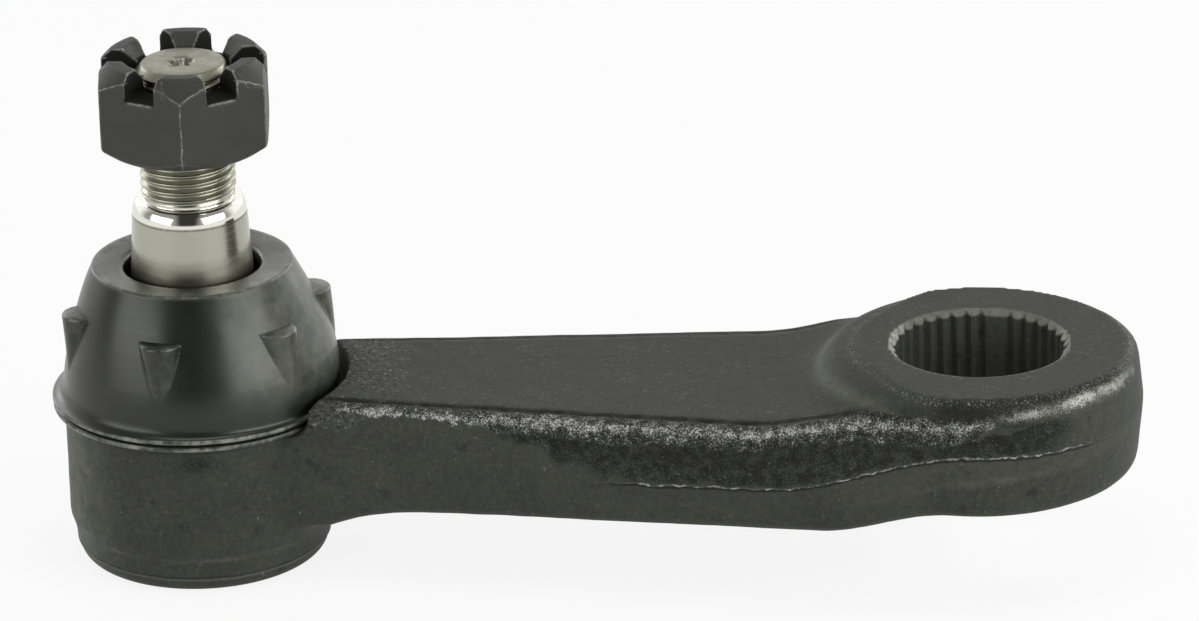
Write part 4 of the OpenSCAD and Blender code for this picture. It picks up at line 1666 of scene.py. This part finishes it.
@dataclass
class CastleNut:
    """Hexagon nut with six prongs."""

    x: float = -ARM_LENGTH
    z: float = 44.7
    flats: float = 27.5
    height: float = 16.0
    slot_depth: float = 4.5
    slot_width: float = 5.5
    turn: float = 6.0
    bore_r: float = 8.1
    bore_chamfer: float = 0.9
    low_chamfer: float = 2.0
    washer_inset: float = 0.7
    crown: float = 3.5
    crown_inset: float = 1.1
    countersink: float = 2.2
    face_size: float = 0.27
    smooth_passes: int = 3
    rounding_passes: int = 2
    sharp_angle: float = 60.0
    around: int = 360
    slot_turns: tuple[float, ...] = (0.0, 60.0, 120.0)

    def __post_init__(self) -> None:
        """Work out the hexagon's radii and the slots' floor."""
        self.inner = self.flats / 2
        self.corner = self.flats / math.sqrt(3)
        self.slot_floor = self.height - self.slot_depth

    def block(self) -> bpy.types.Object:
        """Hexagon between its two chamfers.

        Returns:
            The new object.
        """
        angle = full_turn(self.around)
        off = np.mod(angle - math.radians(self.turn), math.pi / 3)
        hexagon = self.inner / np.cos(np.minimum(off, math.pi / 3 - off))
        washer_r, crown_r = self.inner - self.washer_inset, self.inner - self.crown_inset
        crown_z = self.height - self.crown
        levels = np.concatenate([
            np.linspace(0.0, self.low_chamfer, 12),
            np.linspace(self.low_chamfer + 0.5, crown_z - 0.4, 16),
            np.linspace(crown_z, self.height, 28),
        ])
        rings = []
        for z in levels:
            low = mix(washer_r, self.corner, z / self.low_chamfer)
            high = mix(crown_r, self.corner, (self.height - z) / self.crown)
            rings.append(ring(np.minimum(hexagon, min(low, high)), angle, z))
        return loft("slotted_nut", np.array(rings))

    def bore_cutter(self) -> bpy.types.Object:
        """Bore with a chamfer below and a countersink above.

        Returns:
            The new object.
        """
        past = 1.0
        profile = [
            (self.bore_r + self.bore_chamfer + past, -past),
            (self.bore_r, self.bore_chamfer),
            (self.bore_r, self.height - self.countersink),
            (self.bore_r + self.countersink + past, self.height + past),
        ]
        return revolve("bore", profile, around=128)

    def slot_cutter(self, turn: float) -> bpy.types.Object:
        """Box that cuts two opposite slots.

        Args:
            turn: Direction of the slots in degrees.

        Returns:
            The new object.
        """
        half, w = self.flats, self.slot_width / 2
        corners = [(half, -w), (half, w), (-half, w), (-half, -w)]
        rings = np.array([[(*p, z) for p in corners] for z in (self.slot_floor, self.height + 2.0)])
        made = loft("slot", rings)
        made.data.transform(Matrix.Rotation(math.radians(turn), 4, "Z"))
        return made

    def inside(self, points: np.ndarray) -> np.ndarray:
        """Share of the surface inside the slots and the bore, where the finish paints shade.

        Args:
            points: Points of the surface, with the nut's seat at Z 0.

        Returns:
            The share at each point.
        """
        x, y, z = points.T
        half = self.slot_width / 2
        found = fade(np.hypot(x, y), self.bore_r + 0.4, self.bore_r + 0.1)
        high = fade(z, self.slot_floor - 0.2, self.slot_floor - 0.02)
        for turn in self.slot_turns:
            a = math.radians(turn + self.turn)
            across = np.abs(y * math.cos(a) - x * math.sin(a))
            found = np.maximum(found, fade(across, half + 0.2, half + 0.02) * high)
        return found

    def edges(self, points: np.ndarray) -> Shares:
        """Distances from the nut's outer edges.

        Args:
            points: Points of the surface, with the nut's seat at Z 0.

        Returns:
            Distances by name: corner along the upright edges and crown along the upper chamfer, with outside
            as the share of the surface where they run.
        """
        x, y, z = points.T
        step = math.pi / 3
        crown_z = self.height - self.crown
        reach = np.hypot(x, y)
        off = np.mod(np.arctan2(y, x) - math.radians(self.turn), step) - step / 2
        flat_r = self.inner / np.cos(step / 2 - np.abs(off))
        crown_r = self.inner - self.crown_inset
        drop = self.crown * (flat_r - crown_r) / (self.corner - crown_r)
        return {
            "corner": reach * np.sin(off) + 3.0 * fade(z, crown_z, crown_z + 0.5),
            "crown": z - self.height + drop,
            "outside": fade(reach, self.inner - 1.0, self.inner - 0.5),
        }

    def build(self) -> None:
        """Make the nut's mesh and finish it."""
        nut = self.block()
        combine(nut, self.bore_cutter(), Cut.DIFFERENCE)
        for turn in self.slot_turns:
            combine(nut, self.slot_cutter(turn + self.turn), Cut.DIFFERENCE)
        even_out(nut, self.face_size)
        soften(nut.data, self.smooth_passes)
        before = coordinates(nut.data)
        soften(nut.data, self.rounding_passes)
        points = coordinates(nut.data)
        normal = directions(nut.data)
        lost = np.einsum("ij,ij->i", before - points, normal)
        push = 0.035 * grain(points, 5.0, 1.0) + 0.015 * grain(points, 1.4, 2.0) - 0.03
        points = points + push[:, None] * normal
        place(nut.data, points)
        keep(nut.data, {"worn": fade(lost, 0.012, 0.036), "inside": self.inside(points)})
        keep(nut.data, self.edges(points))
        nut.data.transform(Matrix.Translation((0.0, 0.0, self.z)))
        present(nut, DARK, self.sharp_angle, self.x)
        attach(nut, Body.NUT.value)
        deliver(nut, "castle_nut")


# The dust boot


@dataclass
class DustBoot:
    """Moulded rubber cap with two beads at its foot and six lugs."""

    x: float = -ARM_LENGTH
    foot: float = -1.05
    seat: float = -1.1
    height: float = 24.9
    wall_r: float = 23.2
    lip_r: float = 24.5
    top_r: float = 16.7
    hole_r: float = 11.45
    wall: float = 2.4
    wall_height: float = 4.5
    turn_r: float = 16.0
    fullness: float = 0.55
    bulge: float = 3.4
    lip_height: float = 2.7
    low_bead_r: float = 0.60
    edge_bead_r: float = 0.44
    lug_count: int = 6
    lug_angle: float = 20.0
    lug_r: float = 3.6
    lug_tip_r: float = 2.2
    lug_top: float = 17.9
    lug_tip: float = 7.2
    dust_turn: Span = (-84.0, -34.0, 15.0, 50.0)
    held_foot: float = 3.0
    held_top: float = 1.5
    sharp_angle: float = 50.0
    around: int = 540

    def __post_init__(self) -> None:
        """Work out the heights of the top and of the lugs' upper faces."""
        self.top = self.seat + self.height
        self.ledge = self.seat + self.lug_top

    def wall_line(self, r: float, turn_r: float, end: Point, steps: int) -> list[Point]:
        """Section of the wall: an arc that starts upright, then a straight line.

        Args:
            r: Radius at the wall's foot.
            turn_r: Radius of the arc.
            end: Radius and height of the line's end.
            steps: Number of points on the line.

        Returns:
            Radius and height of each point.
        """
        centre = (r - turn_r, self.seat + self.wall_height)
        reach = (end[0] - centre[0], end[1] - centre[1])
        turn = math.degrees(math.atan2(reach[1], reach[0]) - math.acos(turn_r / math.hypot(*reach)))
        line = arc(centre, turn_r, 0.0, turn, steps // 2)
        last = line[-1]
        line += [(mix(last[0], end[0], t), mix(last[1], end[1], t)) for t in np.linspace(0.0, 1.0, steps)[1:]]
        return line

    def lip_rows(self) -> list[Point]:
        """Section of the lip: a round lower bead, a groove and a thin flared edge.

        Returns:
            Radius and height of each point.
        """
        low, edge, foot, lip_r = self.low_bead_r, self.edge_bead_r, self.foot, self.lip_r
        rows = [(lip_r - 0.9, foot)]
        rows += arc((lip_r - low - 0.1, foot + low + 0.02), low, -80.0, 55.0, 9)
        rows += [(lip_r - 0.95, foot + 1.36)]
        rows += arc((lip_r - edge, foot + 1.90), edge, -65.0, 75.0, 9)
        rows += [(lip_r - 0.70, foot + 2.52)]
        rows += [(self.wall_r + 0.24, foot + 2.95), (self.wall_r + 0.06, foot + 3.5)]
        return rows

    def outer_rows(self) -> list[Point]:
        """Outer section from the foot to the rim of the top, with close rows at the lugs' upper faces.

        Returns:
            Radius and height of each point.
        """
        end = (self.top_r + 0.22, self.top - 0.36)
        line = self.wall_line(self.wall_r, self.turn_r, end, 60)
        first, low = line[0]
        bow = (first - end[0]) / (end[1] - low) ** 2
        line = [(mix(r, first - bow * (z - low) ** 2, self.fullness), z) for r, z in line]
        radii, heights = zip(*line)
        close = [self.ledge + step for step in (-0.45, -0.2, -0.07, -0.01, 0.01, 0.12, 0.3)]
        rows = [row for row in line if abs(row[1] - self.ledge) > 0.55]
        rows += zip(np.interp(close, heights, radii).tolist(), close)
        return self.lip_rows() + sorted(rows, key=lambda row: row[1])

    def closing_rows(self) -> list[Point]:
        """Section over the top, down the hole and along the inside to the foot.

        Returns:
            Radius and height of each point.
        """
        top, hole, inner = self.top, self.hole_r, self.wall_r - self.wall
        rows = [(self.top_r + 0.12, top - 0.10), (self.top_r - 0.12, top), (self.top_r - 0.8, top - 0.06)]
        rows += [(hole + 1.2, top - 0.25), (hole + 0.4, top - 0.34)]
        rows += [(hole, top - 0.8), (hole, top - self.wall)]
        end = (self.top_r - self.wall, top - self.wall)
        rows += reversed(self.wall_line(inner, self.turn_r - self.wall, end, 24))
        rows += [(inner, self.foot)]
        return rows

    def lug_reach(self) -> float:
        """Radius of the wall at the lugs' tips."""
        turn = (self.lug_tip - self.wall_height) / self.turn_r
        return self.wall_r - self.turn_r * (1.0 - math.sqrt(1.0 - turn * turn))

    def lugs(self, angle: np.ndarray, z: float) -> np.ndarray:
        """Reach of the lugs at a height.

        Args:
            angle: Angles round the boot.
            z: Height.

        Returns:
            The radius at each angle, or 0 where there is no lug.
        """
        low, high = self.seat + self.lug_tip, self.ledge
        if not low - 2.0 <= z <= high:
            return np.zeros_like(angle)
        r = mix(self.lug_tip_r, self.lug_r, (z - low) / (high - low))
        middle = self.lug_reach() - r
        if high - z < 0.2:
            r -= 0.22 - high + z
        step = 2 * math.pi / self.lug_count
        off = np.mod(angle - math.radians(self.lug_angle) + step / 2, step) - step / 2
        inside = r * r - (middle * np.sin(off)) ** 2
        return np.where(inside > 0.0, middle * np.cos(off) + np.sqrt(np.maximum(inside, 0.0)), 0.0)

    def lean(self, z: float) -> float:
        """How far the soft wall bulges towards the eye at a height."""
        u = min(max((z - self.foot - self.lip_height) / (self.height - self.lip_height), 0.0), 1.0)
        return self.bulge * u**0.6 * (1.0 - u) ** 1.6

    def outer_ring(self, angle: np.ndarray, r: float, z: float) -> tuple[np.ndarray, np.ndarray]:
        """One ring of the outside, with its lugs.

        Args:
            angle: Angles round the boot.
            r: Radius of the wall.
            z: Height.

        Returns:
            The ring's points, and the share of wear and of painted reflection at each.
        """
        lug = self.lugs(angle, z)
        share = np.clip(0.5 + (lug - r) / 0.36, 0.0, 1.0)
        reach = np.where(lug > 0.0, mix(r, lug, share) + 0.1 * share * (1.0 - share), r)
        on_lip = fade(r, self.lip_r - 0.30, self.lip_r - 0.08) * (z < self.foot + self.lip_height)
        on_ledge = (lug > r + 0.4) & (z > self.ledge - 0.3)
        # The lugs' faces are made lighter as painted reflection; their upper faces are lighter; the lip's
        # edges are worn.
        worn = np.where(on_ledge, 0.6, 0.0) + np.where(lug > r + 0.15, 0.13, 0.0) + 0.9 * on_lip
        return ring(np.maximum(reach, r), angle, z, self.lean(z)), worn

    def dusty(self, points: np.ndarray) -> np.ndarray:
        """Share of painted sheen: a painted highlight on the wall towards the eye and a painted reflection on
        the top.

        Args:
            points: Points of the surface.

        Returns:
            The share at each point.
        """
        x, y, z = points.T
        turn = np.degrees(np.arctan2(y, x))
        # Painted highlight on the flank towards the eye.
        wall = 0.75 * between(turn, *self.dust_turn) * fade(z, self.foot + 3.0, self.foot + 10.0)
        # Painted reflection on the top, stronger at its left and right.
        top = fade(z, self.top - 0.6, self.top - 0.35)
        return np.maximum(wall, (0.30 + 0.25 * fade(np.abs(x), 6.0, 14.0)) * top)

    def build(self) -> None:
        """Make the boot's mesh and finish it."""
        angle = full_turn(self.around)
        rings, worn = map(list, zip(*(self.outer_ring(angle, r, z) for r, z in self.outer_rows())))
        for r, z in self.closing_rows():
            rings.append(ring(r, angle, z, self.lean(z)))
            # A lighter band round the rim of the top, kept with the wear share.
            on_rim = z > self.top - 0.3 and r > self.top_r - 1.0
            worn.append(np.full_like(angle, 0.5 if on_rim else 0.0))
        boot = loft("moulded_dust_boot", np.array(rings), joined=True)
        points = coordinates(boot.data)
        uneven = 0.05 * grain(points, 9.0, 1.0) * (points[:, 2] > self.foot + 0.2)
        place(boot.data, points + uneven[:, None] * directions(boot.data))
        keep(boot.data, {"worn": np.clip(np.array(worn).ravel(), 0.0, 1.0), "dust": self.dusty(points)})
        present(boot, RUBBER, self.sharp_angle, self.x)
        end = (self.x * MM, 0.0, (self.top - self.held_top) * MM)
        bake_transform(boot)
        deliver(boot, "dust_boot")


# Inside the socket


@dataclass
class SocketInside:
    """Bearings, spring and cover plate, whose solids are kept and get finishes."""

    finishes: dict[str, Finish] = field(default_factory=lambda: {
        "upper_bearing": PLASTIC,
        "lower_bearing": PLASTIC,
        "preload_spring": SPRING,
        "cover_plate": DARK,
    })

    def build(self, nodes: dict[str, bpy.types.Object]) -> None:
        """Dress each solid.

        Args:
            nodes: Solids of the frame by name.
        """
        for name, finish in self.finishes.items():
            dress(nodes[name], finish)
            LOG.info("%s: finish %s", name, finish.name)


# The studio


@dataclass(frozen=True)
class Lamp:
    """Soft rectangular lamp."""

    name: str
    place: tuple[float, float, float]
    size: Point
    power: float

    def build(self, target: tuple[float, float, float]) -> None:
        """Set the lamp up.

        Args:
            target: Point that the lamp is aimed at.
        """
        data = bpy.data.lights.new(self.name, "AREA")
        data.shape = "RECTANGLE"
        data.size = self.size[0] * MM
        data.size_y = self.size[1] * MM
        data.energy = self.power
        lamp = bpy.data.objects.new(self.name, data)
        bpy.context.scene.collection.objects.link(lamp)
        position = Vector(self.place) * MM
        aim = Vector(target) * MM - position
        lamp.matrix_world = Matrix.Translation(position) @ aim.to_track_quat("-Z", "Y").to_matrix().to_4x4()
        lamp.visible_camera = False


LAMPS = (
    Lamp("overhead", (-60.0, -120.0, 700.0), (520.0, 300.0), 1.22),
    Lamp("front_left", (-760.0, -500.0, 240.0), (700.0, 400.0), 2.75),
    Lamp("front_right", (540.0, -400.0, 250.0), (700.0, 400.0), 4.1),
    Lamp("back_left", (-620.0, 560.0, 300.0), (200.0, 520.0), 0.8),
    Lamp("back_right", (360.0, 640.0, 300.0), (200.0, 520.0), 1.0),
)


@dataclass
class Studio:
    """Pale floor, soft lamps, plain surroundings and the camera."""

    floor_z: float = -28.0
    floor_half: float = 3000.0
    floor_white: float = 0.86
    picture_width: int = 1199
    azimuth: float = 5.442
    elevation: float = 22.148
    roll: float = -1.415
    focal_pixels: float = 6915.76
    offset: Point = (-2.842, -14.345)
    distance: float = 1159.56
    target: tuple[float, float, float] = (-66.5, 0.0, 0.0)
    room_light: float = 0.34
    backdrop_light: float = 1.2
    card_light: float = 0.04

    def floor(self) -> None:
        """Pale floor that shows white to the camera and keeps the part's shadow."""
        half, z = self.floor_half * MM, self.floor_z * MM
        corners = np.array([(-half, -half, z), (half, -half, z), (half, half, z), (-half, half, z)])
        made = solid("floor", corners, [(0, 1, 2, 3)])
        material = bpy.data.materials.new("pale_floor")
        material.use_nodes = True
        graph = Graph(material.node_tree)
        white = self.floor_white
        pale = graph.node("ShaderNodeBsdfDiffuse", Color=(white, white, white, 1.0))
        glow = graph.node("ShaderNodeEmission", Color=(1.0, 1.0, 1.0, 1.0), Strength=1.0)
        seen = graph.rays("Is Camera Ray", "Is Transmission Ray", "Is Glossy Ray")
        mixed = graph.node("ShaderNodeMixShader")
        parts = (seen * white, pale.outputs["BSDF"], glow.outputs["Emission"])
        for value, socket in zip(parts, mixed.inputs):
            graph.connect(value, socket)
        graph.node("ShaderNodeOutputMaterial", Surface=mixed.outputs["Shader"])
        made.data.materials.append(material)
        made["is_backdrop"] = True

    def surroundings(self) -> None:
        """Grey room, white wherever the camera sees it, with a white backdrop and a dark card opposite."""
        world = bpy.data.worlds.new("pale_room")
        bpy.context.scene.world = world
        world.use_nodes = True
        graph = Graph(world.node_tree)
        way = graph.split(graph.node("ShaderNodeTexCoord").outputs["Generated"])
        backdrop = way["Y"].span(0.0, 0.35) * way["Z"].span(0.75, 0.45)
        room = backdrop.span(0.0, 1.0, self.room_light, self.backdrop_light)
        card = way["X"].near(0.06, 0.26, 0.42) * way["Y"].span(-0.30, -0.45)
        room = room * card.span(0.0, 1.0, 1.0, self.card_light / self.room_light)
        seen = graph.rays("Is Camera Ray", "Is Transmission Ray")
        back = graph.node("ShaderNodeBackground", Color=(1.0, 1.0, 1.0, 1.0), Strength=room.larger(seen))
        graph.node("ShaderNodeOutputWorld", Surface=back.outputs["Background"])

    def camera(self) -> None:
        """Camera at the photograph's viewing angle."""
        a, e, r = (math.radians(v) for v in (self.azimuth, self.elevation, self.roll))
        right = Vector((math.cos(a), math.sin(a), 0.0))
        back = Vector((math.sin(a) * math.cos(e), -math.cos(a) * math.cos(e), math.sin(e)))
        up = back.cross(right)
        x = math.cos(r) * right + math.sin(r) * up
        y = -math.sin(r) * right + math.cos(r) * up
        position = Vector(self.target) - self.offset[0] * x - self.offset[1] * y + self.distance * back
        data = bpy.data.cameras.new("front_camera")
        data.sensor_fit = "HORIZONTAL"
        data.sensor_width = 36.0
        data.lens = self.focal_pixels / self.picture_width * data.sensor_width
        data.clip_start = 0.01
        data.clip_end = 20.0
        camera = bpy.data.objects.new("front_camera", data)
        bpy.context.scene.collection.objects.link(camera)
        turn = Matrix((x, y, back)).transposed().to_4x4()
        camera.matrix_world = Matrix.Translation(position * MM) @ turn
        bpy.context.scene.camera = camera

    def build(self) -> None:
        """Set up the whole studio."""
        self.floor()
        self.surroundings()
        for lamp in LAMPS:
            lamp.build(self.target)
        self.camera()
        bpy.context.scene.view_settings.view_transform = "Standard"


def write_sizes(before: Any, after: Any) -> None:
    """Put the box of the solids and the box of the visual model in a table, which is not kept.

    Args:
        before: Box of the solids.
        after: Box of the visual model.
    """
    plain: Callable[[Any], list[list[float]]] = lambda box: [[float(v) for v in corner] for corner in box]
    {"cad": plain(before), "visual": plain(after)}


def main() -> None:
    """Build the part piece by piece round the frame."""
    logging.basicConfig(level=logging.INFO, format="%(message)s", stream=sys.stdout)
    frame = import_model()
    cad_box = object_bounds()
    Studio().build()
    ArmForging().build()
    BallStud().build()
    CastleNut().build()
    DustBoot().build()
    SocketInside().build(frame["nodes"])
    write_sizes(cad_box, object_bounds())


if __name__ == "__main__":
    main()
